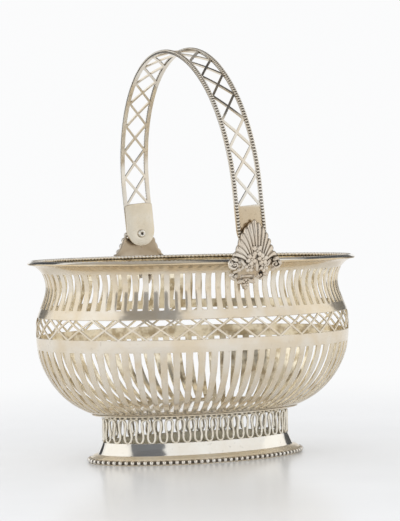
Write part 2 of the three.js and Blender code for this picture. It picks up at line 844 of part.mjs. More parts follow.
// The tail that comes down from the hub, round the lip and under the rim, to a leafy tip on the neck
function lugTail() {
  const sheet = new FlatSheet();
  const rows = 7;
  const tip = lipHeight - lugTailDrop;
  const path = [...Array(rows).keys()].map((row) => (
    tip + (lipHeight - tip) * Math.sin(Math.PI / 2 * row / (rows - 1))
  ));
  const inner = path.map((height) => sectionOnY(height, lugTailGap));
  const outer = path.map((height) => sectionOnY(height, lugTailGap + lugTailThickness));
  const lipTop = lipHeight + sheetThickness + seam;
  inner.push(
    [rimHalfWidth + seam, lipHeight - seam],
    [rimHalfWidth + seam, lipTop],
    [lugBack, lipTop + lugTailThickness],
  );
  outer.push(
    [rimHalfWidth + seam + lugTailThickness, lipHeight - lugTailThickness],
    [lugBack + lugThickness, lipHeight],
    [lugBack + lugThickness + lugBulge, lipTop + lugTailThickness],
  );
  const levels = inner.map((_, row) => sheet.row([-1, 0, 1], row));
  for (let row = 0; row < levels.length - 1; row++) {
    for (const column of [0, 1]) {
      const [lower, upper] = [levels[row], levels[row + 1]];
      sheet.quad(lower[column], lower[column + 1], upper[column + 1], upper[column]);
    }
  }
  return sheet.solid((along, across, depth) => {
    const [y, z] = depth > 0 ? inner[across] : outer[across];
    const share = across / (levels.length - 1);
    const width = lugTailTipWidth + (lugTailTopWidth - lugTailTipWidth) * Math.sin(Math.PI / 2 * share);
    return [-along * width / 2, y, z];
  }, 1);
}

// The wall's section on the oval's short axis, as [y, z], moved outwards square to the wall
function sectionOnY(height, outwards) {
  const [halfLength, z] = wallSection(height, outwards);
  return [halfWidth(halfLength), z];
}

// A shell lug for the far side: fan, tail, two scrolls at its foot and the boss that holds the pin
function shellLug() {
  const bossFrom = strapOutside + seam;
  const bossTo = lugBack + lugThickness + fluteDepth / 2;
  const bossEdge = [[lugBossRadius, bossFrom], [lugBossRadius, bossTo]];
  const boss = turnedOnY([[0, bossFrom], ...bossEdge, [0, bossTo]], 8);
  boss.translate(0, 0, pivotHeight);
  const hubFrom = lugBack;
  const hubTo = lugBack + lugThickness + lugBulge + fluteDepth;
  const hubRadius = lugHubRadius + fluteScallop;
  const hubEdge = [[hubRadius, hubFrom], [hubRadius, hubTo - fluteDepth]];
  const hub = turnedOnY([[0, hubFrom], ...hubEdge, [0, hubTo]], 10);
  hub.translate(0, 0, lugHubHeight);
  let solid = toSolid(lugFan()).add(toSolid(lugTail())).add(toSolid(hub)).add(toSolid(boss));
  for (const side of [-1, 1]) {
    const scrollFrom = rimHalfWidth + 2 * seam;
    const scrollTo = lugBack + scrollThickness;
    const edge = [[0, scrollFrom], [scrollRadius, scrollFrom], [scrollRadius, scrollFrom + scrollThickness]];
    const scroll = turnedOnY([...edge, [scrollRadius / 2, scrollTo], [0, scrollTo]], 8);
    scroll.translate(side * scrollSpread, 0, lipHeight - scrollDrop);
    solid = solid.add(toSolid(scroll));
  }
  const boreDepth = strapOutside + seam + pinDepthInLug + seam;
  const boreRadius = (pinRadius + runningGap) / Math.cos(Math.PI / 10);
  const boreEdge = [[boreRadius, bossFrom - 1], [boreRadius, boreDepth]];
  const bore = turnedOnY([[0, bossFrom - 1], ...boreEdge, [0, boreDepth]], 10);
  bore.translate(0, 0, pivotHeight);
  return fromSolid(solid.subtract(toSolid(bore)));
}

// Puts the pieces together

const basket = new THREE.Group();

function add(parent, name, geometry, look) {
  const mesh = new THREE.Mesh(geometry, new THREE.MeshStandardMaterial(look));
  mesh.name = name;
  parent.add(mesh);
  return mesh;
}

const polished = { color: 0xd9d4ca, roughness: 0.16, metalness: 1 };
const brushed = { color: 0xcfc8ba, roughness: 0.28, metalness: 1 };
const cast = { color: 0xc7bfae, roughness: 0.34, metalness: 1 };

add(basket, 'foot_skirt', footSkirt(), polished);
add(basket, 'foot_bead_wire', wireRing(
  footHalfLength - footWireInset,
  footWireHeight,
  footWireRadius,
  footTurn,
), cast);
add(basket, 'foot_gallery', loopGallery(), polished);
add(basket, 'foot_collar', footCollar(), polished);
add(basket, 'floor_plate', floorPlate(), polished);
add(basket, 'pierced_wall', piercedWall(), brushed);
add(basket, 'rim_bead_wire', rimBorder(), cast);

for (const [side, turn] of [['far', 0], ['near', Math.PI]]) {
  add(basket, `shell_lug_${side}`, shellLug(), cast).rotation.z = turn;
  const pivot = new THREE.Group();
  pivot.position.z = pivotHeight;
  pivot.rotation.z = turn;
  add(pivot, `pivot_pin_${side}`, pivotPin(), polished);
  add(pivot, `pivot_washer_${side}`, pivotWasher(), polished);
  basket.add(pivot);
}

const handle = new THREE.Group();
handle.position.z = pivotHeight;
handle.rotation.y = THREE.MathUtils.degToRad(-handleLeanDegrees);
add(handle, 'handle_strap', handleStrap(), brushed);
add(handle, 'handle_bead_wire_left', strapWire(-1), cast);
add(handle, 'handle_bead_wire_right', strapWire(1), cast);
add(handle, 'handle_end_plate_far', endPlate(), polished);
add(handle, 'handle_end_plate_near', endPlate(), polished).rotation.z = Math.PI;
basket.add(handle);

export default basket;
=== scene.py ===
"""The looks of a pierced oval silver basket with a swinging strap handle.

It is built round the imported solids. Sizes are in millimetres until a mesh is made. +X runs along the
oval, +Y across it to the far side, and +Z up. The near side, with the lug that faces the camera, is -Y.
"""

import math

import bmesh
import bpy
import numpy as np
from mathutils import Matrix, Vector


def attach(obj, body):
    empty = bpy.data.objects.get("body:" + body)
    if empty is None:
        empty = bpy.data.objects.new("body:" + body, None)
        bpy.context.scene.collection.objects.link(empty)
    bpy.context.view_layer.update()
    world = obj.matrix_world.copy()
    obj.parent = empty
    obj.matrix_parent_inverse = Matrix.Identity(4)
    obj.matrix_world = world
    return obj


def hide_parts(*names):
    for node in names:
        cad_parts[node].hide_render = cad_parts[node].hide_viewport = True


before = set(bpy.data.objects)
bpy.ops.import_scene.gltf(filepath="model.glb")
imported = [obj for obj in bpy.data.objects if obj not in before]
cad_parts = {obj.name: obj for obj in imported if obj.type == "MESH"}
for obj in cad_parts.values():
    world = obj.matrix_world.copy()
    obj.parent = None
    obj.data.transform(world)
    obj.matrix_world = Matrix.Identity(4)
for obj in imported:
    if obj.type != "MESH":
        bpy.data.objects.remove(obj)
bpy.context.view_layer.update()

MM = 0.001

# The oval at the lip, and how much half width goes with each millimetre of half length
RIM_HALF_LENGTH = 125
RIM_HALF_WIDTH = 94
WIDTH_TAPER = 1.13

# Half lengths of the oval from the table up
FOOT = 84.6
GALLERY = 73.4
COLLAR = 81
FLOOR = 81.5
BELLY = 119.7
WAIST = 112.1

# Heights from the table up
BASE_TOP = 0.5
APRON_BOTTOM = 3.4
APRON_EDGE = 3.9
COVE_BOTTOM = 6.0
SKIRT_TOP = 13
LOOP_BOTTOM = 14.8
LOOP_TOP = 31.7
GALLERY_TOP = 33.9
COLLAR_BOTTOM = 34.2
COLLAR_TOP = 35.2
WALL_BOTTOM = 35.5
BOWL_SLATS = (37.1, 82.5)
BELT_LATTICE = (91.5, 105.5)
NECK_SLATS = (112.0, 136.9)
BELLY_SPAN = (92.0, 99.0)
WAIST_HEIGHT = 127.0
LIP = 143.4
PIVOT = 163.3

# How far the bowl's side turns from upright, between its belly and its floor
BOWL_SWEEP = math.radians(69)

# How far the gallery's band and the cove run out, and how wide the collar is
GALLERY_FLARE = 3.8
COVE_SPREAD = 3.5
COLLAR_WIDTH = 12

SHEET = 1.2
SLAT_SHARE = 0.56
SLAT_CROWN = 0.25
BOWL_SLAT_COUNT = 72
NECK_SLAT_COUNT = 84
BELT_COUNT = 33
BELT_BAR = 1.4
LOOP_COUNT = 41
LOOP_SWING = 0.17
LOOP_WIRE_RADIUS = 0.92

# How far the bowl's slats and the belt's crossings start from the +X end, in pitches
BOWL_SLAT_START = -0.26
BELT_START = 0.08

# The bead strings, and how far in from its edge each one lies
RIM_BEAD_COUNT = 216
RIM_BEAD_RADIUS = 1.2
RIM_BEAD_INSET = 3.8
FOOT_BEAD_COUNT = 92
FOOT_BEAD_RADIUS = 1.62
FOOT_BEAD_INSET = 1.4
STRAP_BEAD_COUNT = 178
STRAP_BEAD_RADIUS = 0.92
STRAP_BEAD_INSET = 1.65

# The handle, in its own frame: the pivot at the origin and the crown towards +Z
HANDLE_LEAN = math.radians(-5.2)
STRAP_HALF_SPAN = 95.2
STRAP_WIDTH = 22.8
STRAP_THICKNESS = 1.3
STRAP_BORDER = 3.1
STRAP_BORDER_MIDDLE = 1.6
STRAP_BAR = 1.8
STRAP_LATTICE_COUNT = 16
FAR_PLAIN_END = 23.5
NEAR_PLAIN_END = 20.2
LEG = 32
ARCH = 101.8

# The plates inside the strap's ends, as width and top, and the round end that they share with the strap
FAR_PLATE = (22.6, FAR_PLAIN_END)
NEAR_PLATE = (21.0, NEAR_PLAIN_END - 0.6)
PLATE_DROP = 9.3
PLATE_ROUND = 13.4
PLATE_CROWN = 1.4
PLATE_THICKNESS = 1.2
PLATE_SEAM = 0.3

# Rivets and their domed rings, as (radius, distance from the middle of the basket)
RIVET = [(0, 92.1), (0.6, 92.15), (0.95, 92.4), (1.4, 92.9), (1.4, 99.1), (0, 99.1)]
RIVET_RING = [
    (1.0, 92.75), (1.0, 91.9), (1.2, 91.45), (1.7, 91.2), (2.4, 91.35), (2.95, 91.95), (3.05, 92.75),
    (1.0, 92.75),
]

# Where the lug's flat back is, as a distance from the middle of the oval
LUG_BACK = 98.25
FAR_LUG_WIDTH = 1.12

# The pieces that come twice: whether it is the far one, and its name
SIDES = ((True, "far"), (False, "near"))

# Steps round the oval: in its measured length, in a solid ring, and in a line for beads
MEASURED_STEPS = 2880
RING_STEPS = 240
LINE_STEPS = 480


# Places on the oval

def half_width(half_length):
    """Half width of the oval that has this half length."""
    return RIM_HALF_WIDTH - (RIM_HALF_LENGTH - half_length) * WIDTH_TAPER


def steps_round(half_length):
    """Angles round an oval, from its +X end, and the lengths of the steps between them."""
    angles = np.linspace(0, 2 * np.pi, MEASURED_STEPS + 1)
    x, y = half_length * np.cos(angles), half_width(half_length) * np.sin(angles)
    return angles, np.hypot(np.diff(x), np.diff(y))


def even_turn(half_length):
    """Gives the angle reached after a share of the way round an oval, counted from its +X end."""
    angles, steps = steps_round(half_length)
    runs = np.concatenate([[0], np.cumsum(steps)]) / steps.sum()
    return lambda share: np.interp(np.mod(share, 1), runs, angles)


def perimeter(half_length):
    """Length of the way round an oval."""
    return steps_round(half_length)[1].sum()


wall_turn = even_turn(BELLY)
foot_turn = even_turn(GALLERY)


def on_oval(angle, half_length, height):
    """Points on ovals, at angles round them."""
    return np.stack([half_length * np.cos(angle), half_width(half_length) * np.sin(angle), height], -1)


def oval_line(half_length, height, turn, steps=LINE_STEPS):
    """Points evenly round an oval at one height."""
    sizes = [np.full(steps, float(size)) for size in (half_length, height)]
    return on_oval(turn(np.arange(steps) / steps), *sizes)


def wall_half_length(height):
    """Half length of the wall's outer face at each height."""
    depth = BELLY_SPAN[0] - WALL_BOTTOM
    low = np.clip((BELLY_SPAN[0] - height) / depth, 0, 1)
    upright = math.cos(BOWL_SWEEP)
    swell = (np.sqrt(1 - (low * math.sin(BOWL_SWEEP)) ** 2) - upright) / (1 - upright)
    shoulder = np.clip((height - BELLY_SPAN[1]) / (WAIST_HEIGHT - BELLY_SPAN[1]), 0, 1)
    neck = WAIST + (BELLY - WAIST) * (1 + np.cos(np.pi * shoulder)) / 2
    flare = np.clip((height - WAIST_HEIGHT) / (LIP - WAIST_HEIGHT), 0, 1)
    rim = WAIST + (RIM_HALF_LENGTH - WAIST) * (1 - np.sqrt(1 - flare ** 2))
    bowl = FLOOR + (BELLY - FLOOR) * swell
    return np.where(height < BELLY_SPAN[1], bowl, np.where(height < WAIST_HEIGHT, neck, rim))


def on_wall(points):
    """Wraps (share of the way round, height, lift) on the wall's outer face."""
    along, height, lift = points.T
    above = np.minimum(height + 0.05, LIP)
    slope = (wall_half_length(above) - wall_half_length(above - 0.1)) / 0.1
    run = np.hypot(1, slope)
    return on_oval(wall_turn(along), wall_half_length(height) + lift / run, height - lift * slope / run)


def on_foot(points):
    """Wraps (share of the way round, height, lift) on the foot's gallery, whose top band flares out."""
    along, height, lift = points.T
    flare = GALLERY_FLARE * np.clip((height - LOOP_TOP) / (GALLERY_TOP - LOOP_TOP), 0, 1) ** 1.3
    return on_oval(foot_turn(along), GALLERY + flare + lift, height)


def arch_line():
    """The handle's middle line as (run, y, z), from the far pivot over the crown to the near one."""
    turn = np.linspace(0, np.pi, 721)
    y = np.concatenate([[STRAP_HALF_SPAN], STRAP_HALF_SPAN * np.cos(turn), [-STRAP_HALF_SPAN]])
    z = np.concatenate([[0], LEG + ARCH * np.sin(turn), [0]])
    run = np.concatenate([[0], np.cumsum(np.hypot(np.diff(y), np.diff(z)))])
    return run, y, z


ARCH_RUN, ARCH_Y, ARCH_Z = arch_line()
ARCH_LENGTH = ARCH_RUN[-1]


def on_strap(points):
    """Wraps (run from the far pivot, place over the width, lift) on the strap's outer face."""
    run, across, lift = points.T
    out = lift + STRAP_THICKNESS / 2
    y = np.interp(run, ARCH_RUN, ARCH_Y)
    z = np.interp(run, ARCH_RUN, ARCH_Z)
    z = np.where(run < 0, run, np.where(run > ARCH_LENGTH, ARCH_LENGTH - run, z))
    ahead = np.clip(run + 0.5, 0.01, ARCH_LENGTH)
    behind = np.clip(run - 0.5, 0, ARCH_LENGTH - 0.01)
    dy = np.interp(ahead, ARCH_RUN, ARCH_Y) - np.interp(behind, ARCH_RUN, ARCH_Y)
    dz = np.interp(ahead, ARCH_RUN, ARCH_Z) - np.interp(behind, ARCH_RUN, ARCH_Z)
    length = np.hypot(dy, dz)
    return np.stack([across, y + out * dz / length, z - out * dy / length], -1)


def on_handle(points):
    """Leans the handle as it was left, and lifts it to its pivots."""
    x, y, z = np.asarray(points, float).T
    c, s = math.cos(HANDLE_LEAN), math.sin(HANDLE_LEAN)
    return np.stack([x * c + z * s, y, -x * s + z * c + PIVOT], -1)


# Meshes and flat patterns

def mesh_object(name, points, faces, edges=()):
    """A mesh object from points in millimetres."""
    mesh = bpy.data.meshes.new(name)
    corners = (np.asarray(points, float) * MM).tolist()
    mesh.from_pydata(corners, list(edges), [list(map(int, face)) for face in faces])
    mesh.validate()
    if faces:
        mesh.polygons.foreach_set("use_smooth", [True] * len(mesh.polygons))
    piece = bpy.data.objects.new(name, mesh)
    bpy.context.scene.collection.objects.link(piece)
    return piece


def circle(sides):
    """The cosine and sine of each of the even steps round a circle."""
    turns = [2 * np.pi * step / sides for step in range(sides)]
    return [(math.cos(turn), math.sin(turn)) for turn in turns]


def skin(rows, width, looped=False, ringed=True, turned=False):
    """Faces over rows of points.

    looped joins the last row to the first one, ringed joins the ends of each row, and turned turns the
    faces over.
    """
    faces = []
    for row in range(rows if looped else rows - 1):
        here, there = row * width, (row + 1) % rows * width
        for place in range(width if ringed else width - 1):
            after = (place + 1) % width
            face = (here + place, here + after, there + after, there + place)
            faces.append(face[:1] + face[:0:-1] if turned else face)
    return faces


def lids(rows, width):
    """The two faces that close the first and the last row."""
    return [tuple(reversed(range(width))), tuple(range((rows - 1) * width, rows * width))]


def drum(rows, width):
    """Faces of a closed body whose rows of points run clockwise, seen from its last row."""
    first, last = lids(rows, width)
    return [first[::-1], *skin(rows, width, turned=True), last[::-1]]


def made_plain(piece):
    """Replaces a piece's modifiers with the mesh that they make."""
    graph = bpy.context.evaluated_depsgraph_get()
    shown = piece.evaluated_get(graph)
    made = bpy.data.meshes.new_from_object(shown, preserve_all_data_layers=True, depsgraph=graph)
    piece.modifiers.clear()
    old = piece.data
    piece.data = made
    made.name = piece.name
    bpy.data.meshes.remove(old)
    return piece


def thickened(piece, thickness, edge):
    """Gives a skin its thickness inwards, if any, eases its edges and keeps its broad faces even."""
    if thickness:
        wall = piece.modifiers.new("Thickness", "SOLIDIFY")
        wall.thickness = thickness * MM
        wall.offset = -1
        wall.use_even_offset = True
    ease = piece.modifiers.new("Eased edges", "BEVEL")
    ease.width = edge * MM
    ease.segments = 2
    ease.limit_method = "ANGLE"
    ease.angle_limit = math.radians(40)
    even = piece.modifiers.new("Even faces", "WEIGHTED_NORMAL")
    even.weight = 80
    return made_plain(piece)


class Form:
    """Points, and faces over them."""

    def __init__(self):
        self.points = []
        self.faces = []

    def add(self, points, faces):
        first = len(self.points)
        self.points.extend(map(tuple, points))
        self.faces.extend(tuple(first + corner for corner in face) for face in faces)


class Sheet(Form):
    """A flat pattern: points (along, across, lift) and faces that run anticlockwise."""

    def row(self, alongs, across, lifts=None):
        first = len(self.points)
        for index, along in enumerate(alongs):
            self.points.append((along, across, lifts[index] if lifts is not None else 0))
        return list(range(first, len(self.points)))

    def face(self, ids, turned=False):
        self.faces.append(tuple(reversed(ids)) if turned else tuple(ids))

    def grid(self, alongs, acrosses, open_at=None, lift=None):
        """Adds a grid. open_at(column, row) leaves a cell out, lift(along, across) raises a point."""
        rows = [
            self.row(alongs, across, [lift(along, across) for along in alongs] if lift else None)
            for across in acrosses
        ]
        for row in range(len(rows) - 1):
            for column in range(len(alongs) - 1):
                if open_at and open_at(column, row):
                    continue
                low, high = rows[row], rows[row + 1]
                self.face((low[column], low[column + 1], high[column + 1], high[column]))
        return rows

    def edge_row(self, across):
        """The points at one height, in order along the pattern."""
        ids = [index for index, point in enumerate(self.points) if abs(point[1] - across) < 1e-3]
        return sorted(ids, key=lambda index: self.points[index][0])

    def zip(self, lower, upper):
        """Fills the narrow strip between two rows that run the same way."""
        low = high = 0
        while low < len(lower) - 1 or high < len(upper) - 1:
            next_low = self.points[lower[low + 1]][0] if low < len(lower) - 1 else math.inf
            next_high = self.points[upper[high + 1]][0] if high < len(upper) - 1 else math.inf
            if next_low <= next_high:
                self.face((lower[low], lower[low + 1], upper[high]))
                low += 1
            else:
                self.face((lower[low], upper[high + 1], upper[high]))
                high += 1

    def wrapped(self, name, place):
        return mesh_object(name, place(np.array(self.points)), self.faces)


def outward(piece):
    """Turns every closed form of a piece so that its faces point out."""
    work = bmesh.new()
    work.from_mesh(piece.data)
    bmesh.ops.recalc_face_normals(work, faces=work.faces)
    work.to_mesh(piece.data)
    work.free()
    return piece


def welded(piece, distance=0.01):
    """Joins points that lie on each other."""
    weld = piece.modifiers.new("Weld", "WELD")
    weld.merge_threshold = distance * MM
    return made_plain(piece)


# Geometry Nodes

def start_tree(name, sizes):
    """A tree with a geometry in and out, a named input for each size, and the finish as its last input."""
    tree = bpy.data.node_groups.new(name, "GeometryNodeTree")
    tree.interface.new_socket("Geometry", in_out="INPUT", socket_type="NodeSocketGeometry")
    for label, kind in sizes.items():
        tree.interface.new_socket(label, in_out="INPUT", socket_type=kind)
    tree.interface.new_socket("Finish", in_out="INPUT", socket_type="NodeSocketMaterial")
    tree.interface.new_socket("Geometry", in_out="OUTPUT", socket_type="NodeSocketGeometry")
    inputs = tree.nodes.new("NodeGroupInput")
    return tree, inputs.outputs


def add_node(tree, kind, links=None, **settings):
    """Adds a node, with its settings, and feeds its inputs from sockets or plain values."""
    node = tree.nodes.new(kind)
    for name, value in settings.items():
        setattr(node, name, value)
    for name, value in (links or {}).items():
        if isinstance(value, bpy.types.NodeSocket):
            tree.links.new(value, node.inputs[name])
        else:
            node.inputs[name].default_value = value
    return node


def end_tree(tree, geometry, finish):
    """Ends a tree in real geometry with its finish."""
    real = add_node(tree, "GeometryNodeRealizeInstances", {"Geometry": geometry})
    done = add_node(tree, "GeometryNodeSetMaterial", {"Geometry": real.outputs[0], "Material": finish})
    out = tree.nodes.new("NodeGroupOutput")
    tree.links.new(done.outputs[0], out.inputs[0])
    return tree


def row_of_cells_tree():
    """Sets a flat cell side by side, once for each pitch."""
    tree, size = start_tree("Row of cells", {"Count": "NodeSocketInt", "Pitch": "NodeSocketFloat"})
    step = add_node(tree, "ShaderNodeCombineXYZ", {"X": size["Pitch"]})
    line = add_node(tree, "GeometryNodeMeshLine", {"Count": size["Count"], "Offset": step.outputs[0]})
    cells = add_node(tree, "GeometryNodeInstanceOnPoints", {
        "Points": line.outputs[0],
        "Instance": size["Geometry"],
    })
    return end_tree(tree, cells.outputs[0], size["Finish"])


def row_of_beads_tree():
    """Sets beads at even steps on a line. Their width, along X, is given in radii."""
    tree, size = start_tree("Row of beads", {
        "Count": "NodeSocketInt",
        "Bead radius": "NodeSocketFloat",
        "Bead width": "NodeSocketFloat",
    })
    line = add_node(tree, "GeometryNodeMeshToCurve", {"Mesh": size["Geometry"]})
    steps = add_node(tree, "GeometryNodeResampleCurve", {"Curve": line.outputs[0], "Count": size["Count"]})
    bead = add_node(tree, "GeometryNodeMeshUVSphere", {
        "Segments": 9,
        "Rings": 6,
        "Radius": size["Bead radius"],
    })
    shape = add_node(tree, "ShaderNodeCombineXYZ", {"X": size["Bead width"], "Y": 1.0, "Z": 1.0})
    beads = add_node(tree, "GeometryNodeInstanceOnPoints", {
        "Points": steps.outputs[0],
        "Instance": bead.outputs[0],
        "Scale": shape.outputs[0],
    })
    real = add_node(tree, "GeometryNodeRealizeInstances", {"Geometry": beads.outputs[0]})
    smooth = add_node(tree, "GeometryNodeSetShadeSmooth", {"Geometry": real.outputs[0]})
    return end_tree(tree, smooth.outputs[0], size["Finish"])


def drawn_wire_tree():
    """Draws a line out as a round wire."""
    tree, size = start_tree("Drawn wire", {"Wire radius": "NodeSocketFloat"})
    line = add_node(tree, "GeometryNodeMeshToCurve", {"Mesh": size["Geometry"]})
    ring = add_node(tree, "GeometryNodeCurvePrimitiveCircle", {
        "Resolution": 8,
        "Radius": size["Wire radius"],
    })
    wire = add_node(tree, "GeometryNodeCurveToMesh", {
        "Curve": line.outputs[0],
        "Profile Curve": ring.outputs[0],
        "Fill Caps": True,
    })
    smooth = add_node(tree, "GeometryNodeSetShadeSmooth", {"Geometry": wire.outputs[0]})
    return end_tree(tree, smooth.outputs[0], size["Finish"])


ROW_OF_CELLS = row_of_cells_tree()
ROW_OF_BEADS = row_of_beads_tree()
DRAWN_WIRE = drawn_wire_tree()


def grown(piece, tree, sizes, finish=None):
    """Runs a tree on a piece with the given sizes and keeps the result as a plain mesh.

    Flat cells are wrapped before they get a finish, so they are grown without one.
    """
    step = piece.modifiers.new(tree.name, "NODES")
    step.node_group = tree
    for item in tree.interface.items_tree:
        if item.in_out == "INPUT" and item.name in sizes:
            step[item.identifier] = sizes[item.name]
        if item.in_out == "INPUT" and item.name == "Finish":
            step[item.identifier] = finish
    return made_plain(piece)


def places_of(mesh):
    """The points of a mesh, in millimetres."""
    flat = np.zeros(len(mesh.vertices) * 3)
    mesh.vertices.foreach_get("co", flat)
    return flat.reshape(-1, 3) / MM


def row_of(piece, count, pitch):
    """Repeats a flat cell along the pattern and joins each one to the next."""
    return welded(grown(piece, ROW_OF_CELLS, {"Count": count, "Pitch": pitch * MM}), 0.002)


def repeated(cell, count, pitch):
    """Returns the points and faces of a flat cell repeated along the pattern."""
    piece = row_of(mesh_object("cell", cell.points, cell.faces), count, pitch)
    points = places_of(piece.data)
    faces = [tuple(face.vertices) for face in piece.data.polygons]
    bpy.data.objects.remove(piece)
    return points, faces


def line_object(name, points, closed):
    """A line of edges through points in millimetres."""
    count = len(points)
    edges = [(i, (i + 1) % count) for i in range(count if closed else count - 1)]
    return mesh_object(name, points, [], edges)


# Finishes

def shader_tree(name):
    """A new material, its tree and its shader."""
    material = bpy.data.materials.new(name)
    material.use_nodes = True
    tree = material.node_tree
    return material, tree, tree.nodes["Principled BSDF"]


def ramp(tree, value, *stops):
    """A colour ramp over a value. Each stop is (place, colour)."""
    node = add_node(tree, "ShaderNodeValToRGB", {"Fac": value})
    elements = node.color_ramp.elements
    while len(elements) < len(stops):
        elements.new(0.5)
    for element, (place, colour) in zip(elements, stops):
        element.position = place
        element.color = (*colour, 1)
    return node.outputs["Color"]


def noise(tree, place, scale, detail, roughness=0.5):
    """Soft noise over a place on the piece."""
    node = add_node(tree, "ShaderNodeTexNoise", {
        "Vector": place,
        "Scale": scale,
        "Detail": detail,
        "Roughness": roughness,
    })
    return node.outputs["Fac"]


def mixed(tree, share, below, above, blend="MIX"):
    """Goes from one colour to another with a share. Colours are sockets or (red, green, blue)."""
    below, above = (tone if isinstance(tone, bpy.types.NodeSocket) else (*tone, 1) for tone in (below, above))
    node = add_node(tree, "ShaderNodeMix", {0: share, 6: below, 7: above}, data_type="RGBA", blend_type=blend)
    return node.outputs[2]


def calculated(tree, operation, first, second):
    """A product, comparison or maximum of two values."""
    return add_node(tree, "ShaderNodeMath", {0: first, 1: second}, operation=operation).outputs[0]


def from_span(tree, value, low, high, to=(0.0, 1.0), kind="LINEAR"):
    """Takes a value's span from low to high to another span."""
    node = add_node(tree, "ShaderNodeMapRange", {
        "Value": value,
        "From Min": low,
        "From Max": high,
        "To Min": to[0],
        "To Max": to[1],
    }, interpolation_type=kind)
    return node.outputs[0]


def painted_inner_light(tree, place, colour, light, dark):
    """Brighter mottled colour on faces turned towards the middle of the basket: painted light and painted
    reflections.
    """
    spot = add_node(tree, "ShaderNodeNewGeometry").outputs
    level = add_node(tree, "ShaderNodeVectorMath", {0: spot["Position"], 1: (1, 1, 0)}, operation="MULTIPLY")
    facing = add_node(tree, "ShaderNodeVectorMath", {
        0: level.outputs[0],
        1: spot["Normal"],
    }, operation="DOT_PRODUCT")
    inner = calculated(tree, "LESS_THAN", facing.outputs["Value"], 0.0)
    mottle = noise(tree, place, scale=95.0, detail=4.0, roughness=0.6)
    return mixed(tree, inner, colour, ramp(tree, mottle, (0.41, dark), (0.52, light)))


def toned_by_height(tree, place, colour, full, clean, tone):
    """Multiplies a colour by a tone on one side of a height, and leaves it clean past another one."""
    level = add_node(tree, "ShaderNodeSeparateXYZ", {0: place})
    rise = from_span(tree, level.outputs[2], full * MM, clean * MM)
    return mixed(tree, 1, colour, ramp(tree, rise, (0.0, tone), (1.0, (1, 1, 1))), "MULTIPLY")


def bloomed(tree, colour, dark, recess, reach, span):
    """Darkens a colour where other metal is near."""
    hollow = add_node(tree, "ShaderNodeAmbientOcclusion", {"Distance": reach * MM}, samples=8)
    depth = ramp(tree, hollow.outputs["AO"], (span[0], (1, 1, 1)), (span[1], (0, 0, 0)))
    return mixed(tree, calculated(tree, "MULTIPLY", depth, recess), colour, dark)


def silver(name, bright, warm, dark, roughness, recess=0.0, reach=2.2, span=(0.25, 0.85), polish=0.94,
           height_tone=None, inside=None):
    """Old polished silver: a warm film in soft clouds, fine wipe marks, and a dark bloom in its recesses.

    bright and warm are the two colours of the film, and dark is that of the bloom and of small specks.
    recess is how strong the bloom is, reach how near the next metal must be, in millimetres, and span
    the openness at which the bloom is full and at which it ends. The tone by height is (height, height,
    colour): the film is multiplied by the colour at the first height, and is clean at the second. On the
    wall it is painted shade on the underside of the flared rim. inside is (light, dark), the colours of
    painted light and painted reflections, a brighter mottled colour, on faces turned to the middle.
    polish is the share that is bare metal.
    """
    material, tree, shader = shader_tree(name)
    place = add_node(tree, "ShaderNodeTexCoord").outputs["Object"]
    clouds = noise(tree, place, scale=28.0, detail=4.0, roughness=0.55)
    film = ramp(tree, clouds, (0.36, bright), (0.52, warm), (0.68, bright))
    specks = noise(tree, place, scale=420.0, detail=3.0, roughness=0.6)
    spots = ramp(tree, specks, (0.62, (0, 0, 0)), (0.80, (1, 1, 1)))
    colour = mixed(tree, calculated(tree, "MULTIPLY", spots, 0.35), film, dark)
    if inside:
        colour = painted_inner_light(tree, place, colour, *inside)
    if height_tone:
        colour = toned_by_height(tree, place, colour, *height_tone)
    if recess:
        colour = bloomed(tree, colour, dark, recess, reach, span)
    tree.links.new(colour, shader.inputs["Base Color"])
    shader.inputs["Metallic"].default_value = polish
    patch = noise(tree, place, scale=60.0, detail=5.0, roughness=0.6)
    gloss = from_span(tree, patch, 0.3, 0.75, (roughness * 0.75, roughness * 1.5))
    tree.links.new(gloss, shader.inputs["Roughness"])
    wipe = add_node(tree, "ShaderNodeMapping", {"Vector": place, "Scale": (240.0, 240.0, 2600.0)})
    marks = noise(tree, wipe.outputs[0], scale=1.0, detail=3.0)
    waves = noise(tree, place, scale=75.0, detail=2.0)
    low = add_node(tree, "ShaderNodeBump", {"Strength": 0.10, "Distance": 0.0006, "Height": waves})
    fine = add_node(tree, "ShaderNodeBump", {
        "Strength": 0.02,
        "Distance": 0.0002,
        "Height": marks,
        "Normal": low.outputs[0],
    })
    tree.links.new(fine.outputs[0], shader.inputs["Normal"])
    return material


WALL_SILVER = silver("worn sheet silver with painted shade and light", (0.76, 0.70, 0.60), (0.71, 0.61, 0.46), (0.22, 0.18, 0.12), 0.14,
                     recess=0.3, reach=6.0, span=(0.40, 0.75), polish=0.72,
                     # Painted shade: darker from LIP - 8 up to the lip, on the underside of the flared rim
                     height_tone=(LIP - 1, LIP - 8, (0.90, 0.82, 0.68)),
                     # Painted light and painted reflections: a brighter mottled colour on faces turned to the
                     # middle
                     inside=((0.96, 0.87, 0.68), (0.56, 0.46, 0.30)))
FOOT_SILVER = silver("bright foot silver", (0.87, 0.845, 0.785), (0.83, 0.785, 0.70), (0.20, 0.17, 0.12),
                     0.09, recess=0.3, reach=1.4, span=(0.10, 0.40))
LOOP_SILVER = silver("looped silver wire", (0.88, 0.84, 0.75), (0.82, 0.76, 0.64), (0.22, 0.18, 0.12), 0.2,
                     recess=0.6, reach=1.6)
APRON_SILVER = silver("worn silver of the foot's edge", (0.86, 0.76, 0.60), (0.79, 0.67, 0.48),
                      (0.20, 0.17, 0.12), 0.22, recess=0.3, reach=1.4, span=(0.10, 0.40), polish=0.45)
DULL_SILVER = silver("unpolished silver inside the foot", (0.95, 0.89, 0.72), (0.90, 0.82, 0.62),
                     (0.50, 0.44, 0.32), 0.5, polish=0.1)
BEAD_SILVER = silver("beaded silver", (0.86, 0.82, 0.75), (0.78, 0.71, 0.60), (0.05, 0.04, 0.03), 0.14,
                     recess=0.65, reach=1.5, span=(0.22, 0.70))
